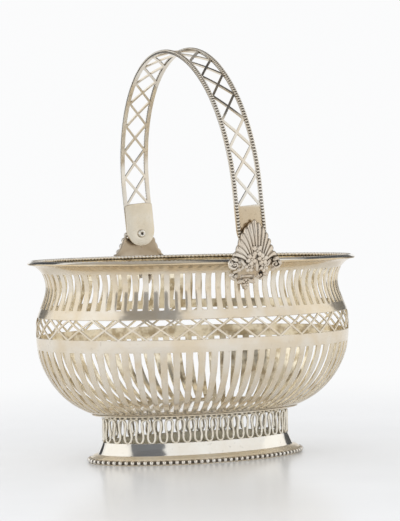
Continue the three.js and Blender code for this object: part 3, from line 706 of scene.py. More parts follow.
RIM_BEAD_SILVER = silver("brighter beaded silver", (0.90, 0.87, 0.81), (0.84, 0.78, 0.69), (0.12, 0.10, 0.08),
                         0.16, recess=0.5, reach=1.2, span=(0.20, 0.60), polish=0.8)
CAST_SILVER = silver("cast silver", (0.80, 0.73, 0.63), (0.70, 0.60, 0.48), (0.11, 0.085, 0.06), 0.26,
                     recess=0.92, reach=1.9, span=(0.28, 0.86))
STRAP_SILVER = silver("strap silver", (0.82, 0.78, 0.70), (0.77, 0.69, 0.57), (0.22, 0.17, 0.12), 0.14,
                      recess=0.6, reach=2.0,
                      # Darker below a height near the tops of the strap's plain ends
                      height_tone=(PIVOT + NEAR_PLAIN_END - 1.5, PIVOT + NEAR_PLAIN_END + 0.5, (0.82, 0.73, 0.60)))
PLATE_SILVER = silver("end plate silver", (0.81, 0.745, 0.62), (0.76, 0.665, 0.51), (0.22, 0.17, 0.12), 0.12,
                      recess=0.6, reach=2.0)
BACK_SILVER = silver("back of the lug", (0.60, 0.505, 0.385), (0.50, 0.40, 0.28), (0.14, 0.11, 0.08), 0.3,
                     recess=0.7, reach=3.5)
# Near black: painted shade in the gaps between beads, and painted shadow in the rivets' sunk middles
PAINTED_SHADE_SILVER = silver("painted shade between the beads and in the rivets", (0.12, 0.10, 0.08), (0.085, 0.07, 0.055),
                       (0.04, 0.03, 0.02), 0.4, polish=0.6)


def settle(piece, body, finish, slot, *stands_for):
    """Gives a piece its one finish and sets it on its body in place of plain solids."""
    piece.data.materials.clear()
    piece.data.materials.append(finish)
    for face in piece.data.polygons:
        face.material_index = 0
    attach(piece, body)
    if stands_for:
        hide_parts(*stands_for)
    return piece


def bead_string(name, line, closed, count, radius, wire, body, node, width=1.0, finish=BEAD_SILVER,
                wire_finish=PAINTED_SHADE_SILVER):
    """Bright beads on a wire, near black unless another finish is given: painted shade in the gaps between
    the beads.
    """
    beads = grown(line_object(name, line, closed), ROW_OF_BEADS,
                  {"Count": count, "Bead radius": radius * MM, "Bead width": width}, finish)
    groove = grown(line_object(f"{name}_wire", line, closed), DRAWN_WIRE,
                   {"Wire radius": wire * MM}, wire_finish)
    settle(beads, body, finish, "cast_silver", node)
    settle(groove, body, wire_finish, "cast_silver", node)


# The pierced wall

def slat_cell(count, heights, opening):
    """One slat between two half openings. heights are the rows, opening the span that is cut."""
    gap = (1 - SLAT_SHARE) / 2
    alongs = np.array([0, gap, 0.5, 1 - gap, 1]) / count

    def open_at(column, row):
        return column in (0, 3) and opening[0] - 0.01 < heights[row] < opening[1] - 0.01

    def lift(along, across):
        share = (across - opening[0]) / (opening[1] - opening[0])
        middle = abs(along * count - 0.5) < 0.01
        return SLAT_CROWN * min(1, 8 * share, 8 * (1 - share)) if middle and 0 < share < 1 else 0

    cell = Sheet()
    cell.grid(alongs, heights, open_at, lift)
    return cell


def lattice_cell(pitch, low, high, bar, rows_below, rows_above, steps=4):
    """One crossing of two bars between two plain borders, in millimetres."""
    slope = math.atan2(high - low, pitch)
    foot = bar / 2 / math.sin(slope)
    notch = bar / 2 / math.cos(slope)
    middle = (low + high) / 2
    centre = pitch / 2
    cell = Sheet()
    columns = np.concatenate([[0], np.linspace(foot, pitch - foot, 9), [pitch]])
    cell.grid(columns, rows_below)
    cell.grid(columns, rows_above)
    for start, line in ((0, low), (pitch, low), (0, high), (pitch, high)):
        right = 1 if start == 0 else -1
        up = 1 if line == low else -1
        turned = right * up < 0
        first = len(cell.points)
        for step in range(steps + 1):
            share = step / steps
            cell.points.append((
                start + right * foot + (centre - start - right * foot) * share,
                line + (middle - up * notch - line) * share,
                0,
            ))
            cell.points.append((
                start + (centre - right * foot - start) * share,
                line + up * notch + (middle - line - up * notch) * share,
                0,
            ))
        for step in range(steps):
            corner = first + 2 * step
            cell.face((corner, corner + 2, corner + 3, corner + 1), turned)
        cell.points.append((start, line, 0))
        cell.face((len(cell.points) - 1, first, first + 1), turned)
    first = len(cell.points)
    cell.points += [
        (centre - foot, middle, 0),
        (centre, middle - notch, 0),
        (centre + foot, middle, 0),
        (centre, middle + notch, 0),
    ]
    cell.face((first, first + 1, first + 2, first + 3))
    return cell


def pierced_wall():
    """Bowl slats, a belt of crossed bars, neck slats and the flared rim, as one sheet."""
    low_seam = (BOWL_SLATS[1] + BELT_LATTICE[0]) / 2
    high_seam = (BELT_LATTICE[1] + NECK_SLATS[0]) / 2
    zip_half = 0.15
    bowl_heights = np.concatenate([
        [WALL_BOTTOM, (WALL_BOTTOM + BOWL_SLATS[0]) / 2],
        np.linspace(*BOWL_SLATS, 17),
        [(BOWL_SLATS[1] + low_seam) / 2, low_seam - zip_half],
    ])
    bowl = slat_cell(BOWL_SLAT_COUNT, bowl_heights, BOWL_SLATS)
    size = perimeter(BELLY)
    belt = lattice_cell(
        size / BELT_COUNT, *BELT_LATTICE, BELT_BAR,
        [low_seam + zip_half, (low_seam + BELT_LATTICE[0]) / 2, BELT_LATTICE[0]],
        [BELT_LATTICE[1], (high_seam + BELT_LATTICE[1]) / 2, high_seam - zip_half],
    )
    start = math.asin((NECK_SLATS[1] - WAIST_HEIGHT) / (LIP - WAIST_HEIGHT))
    turns = np.linspace(start, np.pi / 2, 12)[1:]
    neck_heights = np.concatenate([
        [high_seam + zip_half, (high_seam + NECK_SLATS[0]) / 2],
        np.linspace(*NECK_SLATS, 13),
        WAIST_HEIGHT + (LIP - WAIST_HEIGHT) * np.sin(turns),
    ])
    neck = slat_cell(NECK_SLAT_COUNT, neck_heights, NECK_SLATS)
    sheet = Sheet()
    # Slats are drawn in shares of the way round, and stretched while they are repeated and joined
    stretch = np.array([1000, 1, 1])
    for cell, count, start in ((bowl, BOWL_SLAT_COUNT, BOWL_SLAT_START), (neck, NECK_SLAT_COUNT, 0)):
        cell.points = np.array(cell.points) * stretch
        points, faces = repeated(cell, count, stretch[0] * (1 / count))
        sheet.add(points / stretch + np.array([start / count, 0, 0]), faces)
    points, faces = repeated(belt, BELT_COUNT, size / BELT_COUNT)
    sheet.add(points / np.array([size, 1, 1]) + np.array([BELT_START / BELT_COUNT, 0, 0]), faces)
    for seam in (low_seam, high_seam):
        sheet.zip(sheet.edge_row(seam - zip_half), sheet.edge_row(seam + zip_half))
    return thickened(welded(sheet.wrapped("basket_wall", on_wall)), SHEET, 0.28)


settle(pierced_wall(), "basket", WALL_SILVER, "sheet_silver", "pierced_wall")


# The foot

def oval_sweep(name, section):
    """A closed ring whose section, a loop of (half length, height), is swept round the oval."""
    angles = foot_turn(np.arange(RING_STEPS) / RING_STEPS)
    size = len(section)
    half_lengths, heights = np.array(section, float).T
    points = on_oval(angles[:, None], half_lengths[None, :], np.broadcast_to(heights, (RING_STEPS, size)))
    return mesh_object(name, points.reshape(-1, 3), skin(RING_STEPS, size, looped=True, turned=True))


def foot_skirt():
    """The polished cove of the foot."""
    steps = 12
    top = SKIRT_TOP + 1.6
    cove = []
    for step in range(steps + 1):
        share = step / steps
        cove.append((GALLERY + COVE_SPREAD * share ** 1.15, top + (COVE_BOTTOM - top) * share))
    inner = [(out - 1.2, height - 0.9 * step / steps) for step, (out, height) in enumerate(cove)]
    return thickened(oval_sweep("foot_cove", [*reversed(cove), *inner]), 0, 0.12)


def foot_edge():
    """The sloping apron under the cove, with its groove for the beads, and the thin base."""
    groove_top = APRON_BOTTOM - 0.4
    section = [
        (FOOT - 4.5, groove_top),
        (FOOT - 4.5, 0),
        (FOOT - 1.6, 0),
        (FOOT - 1.6, BASE_TOP),
        (FOOT - 3.4, BASE_TOP),
        (FOOT - 3.4, groove_top),
        (FOOT - 2.8, groove_top),
        (FOOT - 2.6, APRON_EDGE - 0.2),
        (FOOT - 5.0, COVE_BOTTOM - 0.5),
        (GALLERY + COVE_SPREAD, COVE_BOTTOM),
        (GALLERY + COVE_SPREAD - 0.9, COVE_BOTTOM - 0.9),
    ]
    return thickened(outward(oval_sweep("foot_edge", section)), 0, 0.12)


def foot_inside():
    """The unpolished inner face of the cove, seen through the loops."""
    section = [
        (GALLERY - 1.3, SKIRT_TOP + 1.4),
        (GALLERY + 0.1, 9.0),
        (GALLERY + 2.0, 4.8),
        (GALLERY + 1.8, 4.7),
        (GALLERY - 0.2, 9.0),
        (GALLERY - 1.6, SKIRT_TOP + 1.4),
    ]
    return outward(oval_sweep("foot_inside", section))


def gallery_band():
    """The plain flared band over the loops."""
    band = Sheet()
    band.grid(np.linspace(0, 1, RING_STEPS + 1), np.linspace(LOOP_TOP, GALLERY_TOP, 5))
    return thickened(welded(band.wrapped("gallery_band", on_foot)), 1.1, 0.2)


def gallery_loops():
    """One wire that winds up and down in hanging loops."""
    steps = 24
    pitch = perimeter(GALLERY) / LOOP_COUNT
    share = np.arange(steps + 1) / steps
    turn = 2 * np.pi * share
    loop = np.stack([
        (share + LOOP_SWING * np.sin(2 * turn)) * pitch,
        (LOOP_BOTTOM + LOOP_TOP) / 2 - ((LOOP_TOP - LOOP_BOTTOM) / 2) * np.cos(turn),
        np.zeros(steps + 1),
    ], -1)
    piece = row_of(line_object("loop", loop, closed=False), LOOP_COUNT, pitch)
    flat = places_of(piece.data)
    flat[:, 0] /= pitch * LOOP_COUNT
    flat[:, 2] = -0.7
    piece.data.vertices.foreach_set("co", (on_foot(flat) * MM).ravel())
    welded(piece, 0.05)
    return grown(piece, DRAWN_WIRE, {"Wire radius": LOOP_WIRE_RADIUS * MM}, LOOP_SILVER)


def collar():
    """The thin disc between the foot and the bowl."""
    inside = COLLAR - COLLAR_WIDTH
    section = [(inside, COLLAR_BOTTOM), (COLLAR, COLLAR_BOTTOM), (COLLAR, COLLAR_TOP), (inside, COLLAR_TOP)]
    return thickened(oval_sweep("foot_disc", section), 0, 0.3)


def bowl_floor():
    """The bowl's polished flat floor."""
    edge = float(wall_half_length(np.array(WALL_BOTTOM))) - SHEET - 0.4
    rings = [oval_line(edge, height, wall_turn, RING_STEPS) for height in (WALL_BOTTOM, WALL_BOTTOM + SHEET)]
    faces = lids(2, RING_STEPS) + skin(2, RING_STEPS)
    return thickened(mesh_object("bowl_floor", np.concatenate(rings), faces), 0, 0.2)


def rim_border():
    """The plain slope up from the lip's edge to a crest. The rim's beads lie inside the crest."""
    slope = [(0, 0), (0.6, 0.6), (1.5, 1.25), (2.3, 1.7), (2.9, 1.5), (3.4, 0.8), (3.7, 0)]
    section = [(RIM_HALF_LENGTH - inset, LIP + SHEET + rise) for inset, rise in slope]
    return thickened(oval_sweep("rim_border", section), 0, 0.12)


settle(foot_skirt(), "basket", FOOT_SILVER, "polished_silver", "foot_skirt")
settle(foot_edge(), "basket", APRON_SILVER, "polished_silver", "foot_skirt")
settle(foot_inside(), "basket", DULL_SILVER, "polished_silver", "foot_skirt")
settle(gallery_band(), "basket", FOOT_SILVER, "polished_silver", "foot_gallery")
settle(gallery_loops(), "basket", LOOP_SILVER, "polished_silver", "foot_gallery")
settle(collar(), "basket", WALL_SILVER, "polished_silver", "foot_collar")
settle(bowl_floor(), "basket", FOOT_SILVER, "polished_silver", "floor_plate")

bead_string("foot_beads", oval_line(FOOT - FOOT_BEAD_INSET, 1.9, foot_turn), True, FOOT_BEAD_COUNT,
            FOOT_BEAD_RADIUS, 1.0, "basket", "foot_bead_wire", finish=RIM_BEAD_SILVER)
bead_string("rim_beads", oval_line(RIM_HALF_LENGTH - RIM_BEAD_INSET, LIP + SHEET + 0.75, wall_turn), True,
            RIM_BEAD_COUNT, RIM_BEAD_RADIUS, 0.5, "basket", "rim_bead_wire", finish=RIM_BEAD_SILVER,
            wire_finish=APRON_SILVER)
settle(rim_border(), "basket", FOOT_SILVER, "cast_silver", "rim_bead_wire")


# The handle

def handle_strap():
    """Crossed bars between plain borders, with a plain rounded end at each pivot."""
    half = STRAP_WIDTH / 2
    line = half - STRAP_BORDER
    above = [line, half - STRAP_BORDER_MIDDLE, half]
    below = [-across for across in reversed(above)]
    pitch = (ARCH_LENGTH - FAR_PLAIN_END - NEAR_PLAIN_END) / STRAP_LATTICE_COUNT
    cell = lattice_cell(pitch, -line, line, STRAP_BAR, below, above, 5)
    points, faces = repeated(cell, STRAP_LATTICE_COUNT, pitch)
    sheet = Sheet()
    sheet.add(points + np.array([FAR_PLAIN_END, 0, 0]), faces)
    notch = STRAP_BAR / 2 / math.cos(math.atan2(2 * line, pitch))
    acrosses = [*below, -line + notch, 0, line - notch, *above]
    straight = PLATE_ROUND - PLATE_DROP
    turns = np.linspace(0, np.pi / 2, 9)[:-1]
    rounded = [(straight - PLATE_ROUND * math.sin(turn), math.cos(turn)) for turn in turns[::-1]]
    for far, plain in ((True, FAR_PLAIN_END), (False, NEAR_PLAIN_END)):
        rows = []
        for run, width in [*rounded, (straight + 7, 1), (plain - 5, 1), (plain, 1)]:
            first = len(sheet.points)
            start = run if far else ARCH_LENGTH - run
            sheet.points.extend((start, across * width, 0) for across in acrosses)
            rows.append(range(first, first + len(acrosses)))
        for low, high in zip(rows, rows[1:]):
            for column in range(len(acrosses) - 1):
                sheet.face((low[column], high[column], high[column + 1], low[column + 1]), not far)
    strap = sheet.wrapped("strap_lattice", lambda flat: on_handle(on_strap(flat)))
    return thickened(welded(strap, 0.02), STRAP_THICKNESS, 0.22)


def strap_edge(side, steps=420):
    """The line of the beads along one edge of the strap's outer face."""
    runs = np.linspace(-2, ARCH_LENGTH + 2, steps)
    across = np.full(steps, side * (STRAP_WIDTH / 2 - STRAP_BEAD_INSET))
    return on_handle(on_strap(np.stack([runs, across, np.full(steps, 0.45)], -1)))


settle(handle_strap(), "handle", STRAP_SILVER, "sheet_silver", "handle_strap")
for side, name in ((-1, "left"), (1, "right")):
    bead_string(f"strap_beads_{name}", strap_edge(side), False, STRAP_BEAD_COUNT, STRAP_BEAD_RADIUS, 0.75,
                "handle", f"handle_bead_wire_{name}", width=1.8)


def far_or_near(points, far):
    """Turns a piece drawn for the far side half round when it is the near one."""
    return np.asarray(points, float) * (np.array([1, 1, 1]) if far else np.array([-1, -1, 1]))


def end_plate(name, far):
    """The plain plate inside one end of the strap, with a faint dent round its rivet."""
    width, top = FAR_PLATE if far else NEAR_PLATE
    straight = PLATE_ROUND - PLATE_DROP
    outline = []
    for turn in np.pi * np.arange(25) / 24:
        across = math.copysign(abs(math.cos(turn)) ** 0.84, math.cos(turn))
        outline.append((width / 2 * across, straight - PLATE_ROUND * math.sin(turn) ** 0.93))
    for share in np.linspace(-1, 1, 9):
        outline.append((width / 2 * share, top - PLATE_CROWN * share ** 2))
    x, z = np.array(outline).T
    inside = STRAP_HALF_SPAN - STRAP_THICKNESS / 2 - PLATE_SEAM - PLATE_THICKNESS
    rings = [(x, inside + PLATE_THICKNESS, z), (x, inside, z), (x * 0.62, inside, 3 + (z - 3) * 0.62)]
    angle = np.arctan2(z - 0.001, x)
    for radius, dent in ((3.5, 0.0), (3.1, 0.12), (2.7, 0.02)):
        rings.append((radius * np.cos(angle), inside + dent, radius * np.sin(angle)))
    points = np.concatenate([np.stack(np.broadcast_arrays(*ring), -1) for ring in rings])
    piece = mesh_object(name, on_handle(far_or_near(points, far)), drum(len(rings), len(outline)))
    return thickened(piece, 0, 0.18)


def turned_on_y(name, profile, far, steps=32):
    """A round body on the pivots' line, from a closed profile of (radius, distance from the middle)."""
    points = [(radius * c, y, PIVOT + radius * s) for c, s in circle(steps) for radius, y in profile]
    faces = skin(steps, len(profile), looped=True, ringed=False)
    return welded(mesh_object(name, far_or_near(points, far), faces), 0.005)


for far, side in SIDES:
    settle(end_plate(f"end_plate_{side}", far), "handle", PLATE_SILVER, "polished_silver",
           f"handle_end_plate_{side}")
    settle(turned_on_y(f"rivet_ring_{side}", RIVET_RING, far), "basket", FOOT_SILVER, "polished_silver",
           f"pivot_washer_{side}")
    # The rivet's pin is near black: painted shadow in the sunk middle of its ring
    settle(turned_on_y(f"rivet_{side}", RIVET, far), "basket", PAINTED_SHADE_SILVER, "polished_silver",
           f"pivot_pin_{side}")


# The shell lugs

class Carving(Form):
    """Closed forms that make up one cast piece, as points (right, out, up) seen from outside it."""

    def tube(self, path, widths, heights, sides):
        """A tapered tube. widths are half sizes across the path, heights off the lug's face."""
        path = np.array(path, float)
        count = len(path)
        widths = np.broadcast_to(widths, count)
        heights = np.broadcast_to(heights, count)
        along = np.gradient(path, axis=0)
        along /= np.linalg.norm(along, axis=1)[:, None]
        side = np.cross(along, np.array([0, 1.0, 0]))
        side /= np.linalg.norm(side, axis=1)[:, None]
        out = np.cross(side, along)
        points = []
        for i in range(count):
            for c, s in circle(sides):
                points.append(path[i] + side[i] * widths[i] * c + out[i] * heights[i] * s)
        self.add(points, skin(count, sides) + lids(count, sides))

    def blob(self, middle, sizes, tilt=0.0, sides=12, rings=7):
        """An egg whose long way is turned by tilt in the lug's face."""
        points = [(0, 0, 1)]
        for ring in range(1, rings):
            polar = np.pi * ring / rings
            radius, height = math.sin(polar), math.cos(polar)
            points += [(radius * c, radius * s, height) for c, s in circle(sides)]
        points.append((0, 0, -1))
        points = np.array(points) * np.array(sizes, float)
        c, s = math.cos(tilt), math.sin(tilt)
        x, y, z = points.T
        points = np.stack([x * c - z * s, y, x * s + z * c], -1) + np.array(middle, float)
        last = len(points) - 1
        faces = [(0, 1 + k, 1 + (k + 1) % sides) for k in range(sides)]
        faces += [tuple(1 + corner for corner in face) for face in skin(rings - 1, sides, turned=True)]
        faces += [(last, last - sides + (k + 1) % sides, last - sides + k) for k in range(sides)]
        self.add(points, faces)

    def piece(self, name, far):
        """Sets the carving on the far or the near side of the basket."""
        right, out, up = np.array(self.points).T
        points = np.stack([-right * (FAR_LUG_WIDTH if far else 1), LUG_BACK + out, up], -1)
        return mesh_object(name, far_or_near(points, far), self.faces)


# The right half of the fan's edge, from its top, as (right, up), and the fan's flutes
FAN_OUTLINE = np.array([
    (0, 173.2), (3.2, 170.9), (6.7, 167.4), (9.6, 163.3), (11.9, 158.6), (13.4, 154.4), (14.9, 151.2),
    (17.2, 148.2),
])
FAN_SPREAD = math.radians(84)
FAN_HUB_RADIUS = 4.6
FLUTES = 13
HINGE = np.array([0, 140.5])


def fan_tip(share):
    """The fan's edge as (right, up), from -1 at its left end over its top to 1 at its right end."""
    runs = np.concatenate([[0], np.cumsum(np.linalg.norm(np.diff(FAN_OUTLINE, axis=0), axis=1))])
    place = np.abs(share) * runs[-1]
    right = np.interp(place, runs, FAN_OUTLINE[:, 0]) * np.sign(share)
    return np.stack([right, np.interp(place, runs, FAN_OUTLINE[:, 1])], -1)


def fan(carving):
    """Half-round flutes that rise from the hinge and bend outwards to a scalloped edge."""
    columns, rows = FLUTES * 8, 16
    front, back = [], []
    for row in range(rows + 1):
        reach = row / rows
        for column in range(columns + 1):
            share = 2 * column / columns - 1
            across = (share + 1) / 2 * FLUTES
            ridge = math.sqrt(max(0, 1 - (2 * (across % 1) - 1) ** 2))
            tip = fan_tip(np.array(share))
            spread = share * FAN_SPREAD
            root = HINGE + FAN_HUB_RADIUS * np.array([math.sin(spread), math.cos(spread)])
            # A flute rises from the hub first, and then bends out to its tip
            rise = 0.56 * np.linalg.norm(tip - root)
            bend = root + rise * np.array([math.sin(0.36 * spread), math.cos(0.36 * spread)])
            edge = tip + (tip - HINGE) / np.linalg.norm(tip - HINGE) * (1.5 * ridge - 1.0)
            place = (1 - reach) ** 2 * root + 2 * reach * (1 - reach) * bend + reach ** 2 * edge
            crown = 2.2 * math.sin(np.pi * min(1, 0.3 + 0.7 * reach)) + 0.4
            out = 0.6 + crown + 1.5 * ridge * (0.4 + 0.6 * math.sin(np.pi * min(1, 0.2 + 0.6 * reach)))
            front.append((place[0], out, place[1]))
            back.append((place[0], max(0.0, crown - 0.9), place[1]))
    wide = columns + 1
    count = len(front)
    faces = []
    for face in skin(rows + 1, wide, ringed=False):
        faces += [face, tuple(count + corner for corner in reversed(face))]
    for row in range(rows):
        for column in (0, columns):
            a = row * wide + column
            wall = (a, a + wide, count + a + wide, count + a)
            faces.append(wall if column == 0 else wall[::-1])
    for column in range(columns):
        for row in (0, rows):
            a = row * wide + column
            wall = (a + 1, a, count + a, count + a + 1)
            faces.append(wall if row == 0 else wall[::-1])
    carving.add(front + back, faces)


def smooth_back(carving):
    """The plain back of the lug, hollowed a little."""
    outline = [tuple(fan_tip(share) - np.array([0, 0.6])) for share in np.linspace(1, -1, 33)]
    outline += [
        (-18.6, 146.2), (-19.4, 143.6), (-12, 142.6), (0, 142.2), (12, 142.6), (19.4, 143.6), (18.6, 146.2),
    ]
    middle = np.array([0, 153.0])
    rings = []
    hollow = ((1.0, 1.0), (1.0, -0.2), (0.9, -0.2), (0.6, 0.25), (0.3, 0.4))
    for shrink, out in hollow:
        rings += [(right, out, up) for right, up in (np.array(outline) - middle) * shrink + middle]
    carving.add(rings, drum(len(hollow), len(outline)))


def volute(carving, side, middle, size, turns, out, thick, start, flat):
    """A scroll that winds in to its eye. flat is its height for each unit of its width."""
    path, widths = [], []
    for step in range(int(turns * 20) + 1):
        share = step / (turns * 20)
        angle = start - side * 2 * np.pi * turns * share
        radius = size * (1 - 0.8 * share)
        place = (middle[0] + radius * math.cos(angle), middle[1] + flat * radius * math.sin(angle))
        path.append((place[0], out + 1.6 * share, place[1]))
        widths.append(thick * (1 - 0.4 * share))
    widths = np.array(widths)
    carving.tube(path, widths, widths * 1.3, 9)
    carving.blob((middle[0], out + 1.9, middle[1]), (thick * 0.95, 1.3, thick * 0.9 * flat))
    carving.blob((middle[0], out - 0.6, middle[1]), (size, 1.7, flat * size), sides=16)


def flower(carving, middle, size, out, petals, turn):
    """Egg-shaped petals round a small boss."""
    for k in range(petals):
        angle = turn + 2 * np.pi * k / petals
        place = (middle[0] + 0.62 * size * math.cos(angle), out, middle[1] + 0.62 * size * math.sin(angle))
        carving.blob(place, (0.55 * size, 0.95, 0.42 * size), angle, sides=10, rings=6)
    carving.blob((middle[0], out + 0.6, middle[1]), (0.24 * size, 0.6, 0.24 * size), sides=8, rings=5)


def leaf(carving, root, tip, width, out):
    """A pointed leaf with a raised rib."""
    root, tip = np.array(root, float), np.array(tip, float)
    thick, steps = 0.9, 9
    path = []
    for share in np.linspace(0, 1, steps):
        right, up = root + (tip - root) * share
        path.append((right, out + 0.5 * math.sin(np.pi * share), up))
    shape = np.sin(np.pi * np.linspace(0.12, 0.97, steps)) ** 0.8
    carving.tube(path, width * shape, thick * shape, 8)
    carving.tube(path, 0.18 * width * shape + 0.12, 1.35 * thick * shape + 0.1, 6)


def tail(carving):
    """The plate behind the carving, from the hinge round the lip and under the rim, down to the neck."""
    path = [
        (0, 2.4, 151), (0, 2.0, 147.5), (0, 0.9, 144.2), (0, -2.4, 141.2), (0, -6.6, 138.6),
        (0, -11.2, 135.4), (0, -14.4, 131.4), (0, -16.0, 127.8), (0, -16.6, 125.0),
    ]
    widths = [6.5, 11.5, 14.5, 12.5, 9.0, 9.5, 5.4, 2.4, 0.8]
    carving.tube(path, widths, [1.2, 1.4, 1.5, 1.3, 1.2, 1.2, 1.1, 0.9, 0.5], 14)


# Leaves on the right half of the lug, as (root, tip, width, distance out)
VOLUTE_LEAVES = (
    ((13.2, 145.4), (18.4, 147.0), 1.5, 2.2),
    ((17.4, 144.8), (20.2, 142.0), 1.3, 2.2),
    ((13.6, 140.6), (12.4, 137.4), 1.5, 2.2),
)
FLOWER_LEAVES = (
    ((10.8, 137.6), (15.4, 134.2), 1.8, -9.6),
    ((1.4, 132.8), (7.0, 129.2), 2.0, -13.4),
    ((6.6, 140.4), (11.8, 146.4), 1.7, 2.4),
    ((1.6, 138.6), (6.4, 143.2), 1.6, 2.4),
)


def leaves(carving, side, shapes):
    """Sets leaves on the right half of the lug, or as their mirror image on its left half."""
    for root, tip, width, out in shapes:
        leaf(carving, (side * root[0], root[1]), (side * tip[0], tip[1]), width, out)


def turned_boss():
    """The stud behind the fan that takes the rivet."""
    steps = 20
    rings = [(3.9, -2.0), (3.9, 1.5), (1.56, -2.0), (1.56, 1.5)]
    points = [(radius * c, out, PIVOT + radius * s) for radius, out in rings for c, s in circle(steps)]
    faces = []
    for k in range(steps):
        after = (k + 1) % steps
        for one, other in ((0, 1), (3, 2), (2, 0), (1, 3)):
            faces.append((one * steps + k, one * steps + after, other * steps + after, other * steps + k))
    return points, faces


def shell_lug(name, far):
    """The fan over two volutes with leaves and flowers, and the tail that holds the rim."""
    carving = Carving()
    fan(carving)
    tail(carving)
    for side in (-1, 1):
        volute(carving, side, (side * 15.8, 142.4), size=4.1, turns=1.3, out=0.0, thick=1.3,
               start=math.pi / 2, flat=0.85)
        leaves(carving, side, VOLUTE_LEAVES)
        volute(carving, -side, (side * 9.8, 135.2), size=3.2, turns=1.2, out=-11.6, thick=1.0,
               start=-math.pi / 2, flat=0.95)
        carving.tube(
            [(side * 12.6, 1.2, 146.6), (side * 9.4, 1.4, 143.6), (side * 8.2, -0.4, 140.8),
             (side * 9.0, -4.2, 138.6), (side * 11.4, -8.2, 137.2), (side * 12.0, -10.6, 135.2)],
            [1.1, 1.4, 1.4, 1.3, 1.1, 0.8], [1.0, 1.2, 1.2, 1.0, 0.9, 0.7], 9)
        leaves(carving, side, FLOWER_LEAVES)
        flower(carving, (side * 4.3, 146.0), size=3.9, out=4.6, petals=5, turn=side * 0.4)
        flower(carving, (side * 5.6, 140.6), size=3.2, out=3.4, petals=5, turn=side * 0.9)
        carving.blob((side * 5.0, -11.0, 134.6), (0.7, 1.0, 2.2), sides=8, rings=5)
    flower(carving, (0, 151.8), size=4.2, out=4.6, petals=4, turn=math.pi / 4)
    leaf(carving, (0.2, 137.6), (-0.4, 148.4), 1.5, 3.6)
    carving.tube([(-4.6, -10.6, 134.6), (4.6, -10.6, 134.6)], 2.0, 0.9, 4)
    carving.blob((0, -10.2, 134.6), (3.9, 1.1, 1.2), sides=20)
    flower(carving, (0, 129.8), size=3.0, out=-13.2, petals=5, turn=math.pi / 2)
    leaf(carving, (0, 129.2), (0, 124.4), 1.5, -14.2)
    carving.add(*turned_boss())
    return outward(carving.piece(name, far))


def lug_back(name, far):
    """The smooth back, as a piece of its own with its own finish."""
    carving = Carving()
    smooth_back(carving)
    return outward(carving.piece(name, far))


for far, side in SIDES:
    settle(shell_lug(f"lug_{side}", far), "basket", CAST_SILVER, "cast_silver", f"shell_lug_{side}")
    settle(lug_back(f"lug_back_{side}", far), "basket", BACK_SILVER, "cast_silver", f"shell_lug_{side}")


# The studio

# What the cards and lamps face, in millimetres, and how far off most of the cards are
AIM = Vector((0, 0, 90))
FAR_ENOUGH = 1750
BACKDROP = (0.965, 0.968, 0.972, 1)


def world_light():
    """A pale studio: white to the camera and in the metal, softer on what it lights."""
    world = bpy.data.worlds.new("pale studio")
    bpy.context.scene.world = world
    world.use_nodes = True
    tree = world.node_tree
    tree.nodes.clear()
    path = add_node(tree, "ShaderNodeLightPath").outputs
    seen = calculated(tree, "MAXIMUM", path["Is Camera Ray"], path["Is Glossy Ray"])
    shown = calculated(tree, "MAXIMUM", seen, path["Is Transmission Ray"])
    light = add_node(tree, "ShaderNodeBackground", {"Color": (0.95, 0.965, 1.0, 1), "Strength": 0.91})
    backdrop = add_node(tree, "ShaderNodeBackground", {"Color": BACKDROP, "Strength": 1.0})
    mix = add_node(tree, "ShaderNodeMixShader", {0: shown, 1: light.outputs[0], 2: backdrop.outputs[0]})
    out = tree.nodes.new("ShaderNodeOutputWorld")
    tree.links.new(mix.outputs[0], out.inputs[0])


def table_top(radius=4000, steps=64):
    """A pale glossy table that fades to white round the object."""
    material, tree, shader = shader_tree("pale table")
    place = add_node(tree, "ShaderNodeTexCoord").outputs["Object"]
    grain = noise(tree, place, scale=9.0, detail=3.0)
    tone = ramp(tree, grain, (0.35, (0.87, 0.87, 0.86)), (0.65, (0.90, 0.90, 0.89)))
    tree.links.new(tone, shader.inputs["Base Color"])
    shader.inputs["Roughness"].default_value = 0.22
    shader.inputs["IOR"].default_value = 1.45
    distance = add_node(tree, "ShaderNodeVectorMath", {0: place}, operation="LENGTH")
    fade = from_span(tree, distance.outputs["Value"], 0.18, 0.75, kind="SMOOTHSTEP")
    white = add_node(tree, "ShaderNodeEmission", {"Color": BACKDROP, "Strength": 1.0})
    mix = add_node(tree, "ShaderNodeMixShader", {0: fade, 1: shader.outputs[0], 2: white.outputs[0]})
    tree.links.new(mix.outputs[0], tree.nodes["Material Output"].inputs["Surface"])
    points = [(radius * c, radius * s, 0) for c, s in circle(steps)]
    top = mesh_object("table_top", points, [tuple(range(steps))])
    top.data.materials.append(material)


def faced(middle, axis):
    """A place in the studio, turned so that its axis points at the basket."""
    middle = Vector(middle)
    turn = (AIM - middle).to_track_quat(axis, "Y").to_matrix().to_4x4()
    return Matrix.Translation(middle * MM) @ turn


def card(name, middle, width, height, tone, steps=48):
    """A card with rounded corners that the metal mirrors, and nothing else sees."""
    turns = np.arange(steps) * np.pi / (steps // 2)
    x, y = np.cos(turns), np.sin(turns)
    points = np.stack([
        width / 2 * np.sign(x) * np.abs(x) ** 0.4,
        height / 2 * np.sign(y) * np.abs(y) ** 0.4,
        np.zeros(steps),
    ], -1)
    piece = mesh_object(name, points, [tuple(range(steps))])
    piece.data.transform(faced(middle, "Z"))
    material, tree, _ = shader_tree(name)
    glow = add_node(tree, "ShaderNodeEmission", {"Color": (*tone, 1), "Strength": 1.0})
    tree.links.new(glow.outputs[0], tree.nodes["Material Output"].inputs["Surface"])
    piece.data.materials.append(material)
    piece.visible_camera = False
    piece.visible_diffuse = False
    piece.visible_shadow = False


def lamp(name, middle, size, power):
    """A soft lamp that lights the basket and isn't mirrored. Its size is in metres."""
    light = bpy.data.lights.new(name, "AREA")
    light.shape = "RECTANGLE"
    light.size, light.size_y = size
    light.energy = power
    piece = bpy.data.objects.new(name, light)
    bpy.context.scene.collection.objects.link(piece)
    piece.matrix_world = faced(middle, "-Z")
    piece.visible_camera = False
    piece.visible_glossy = False


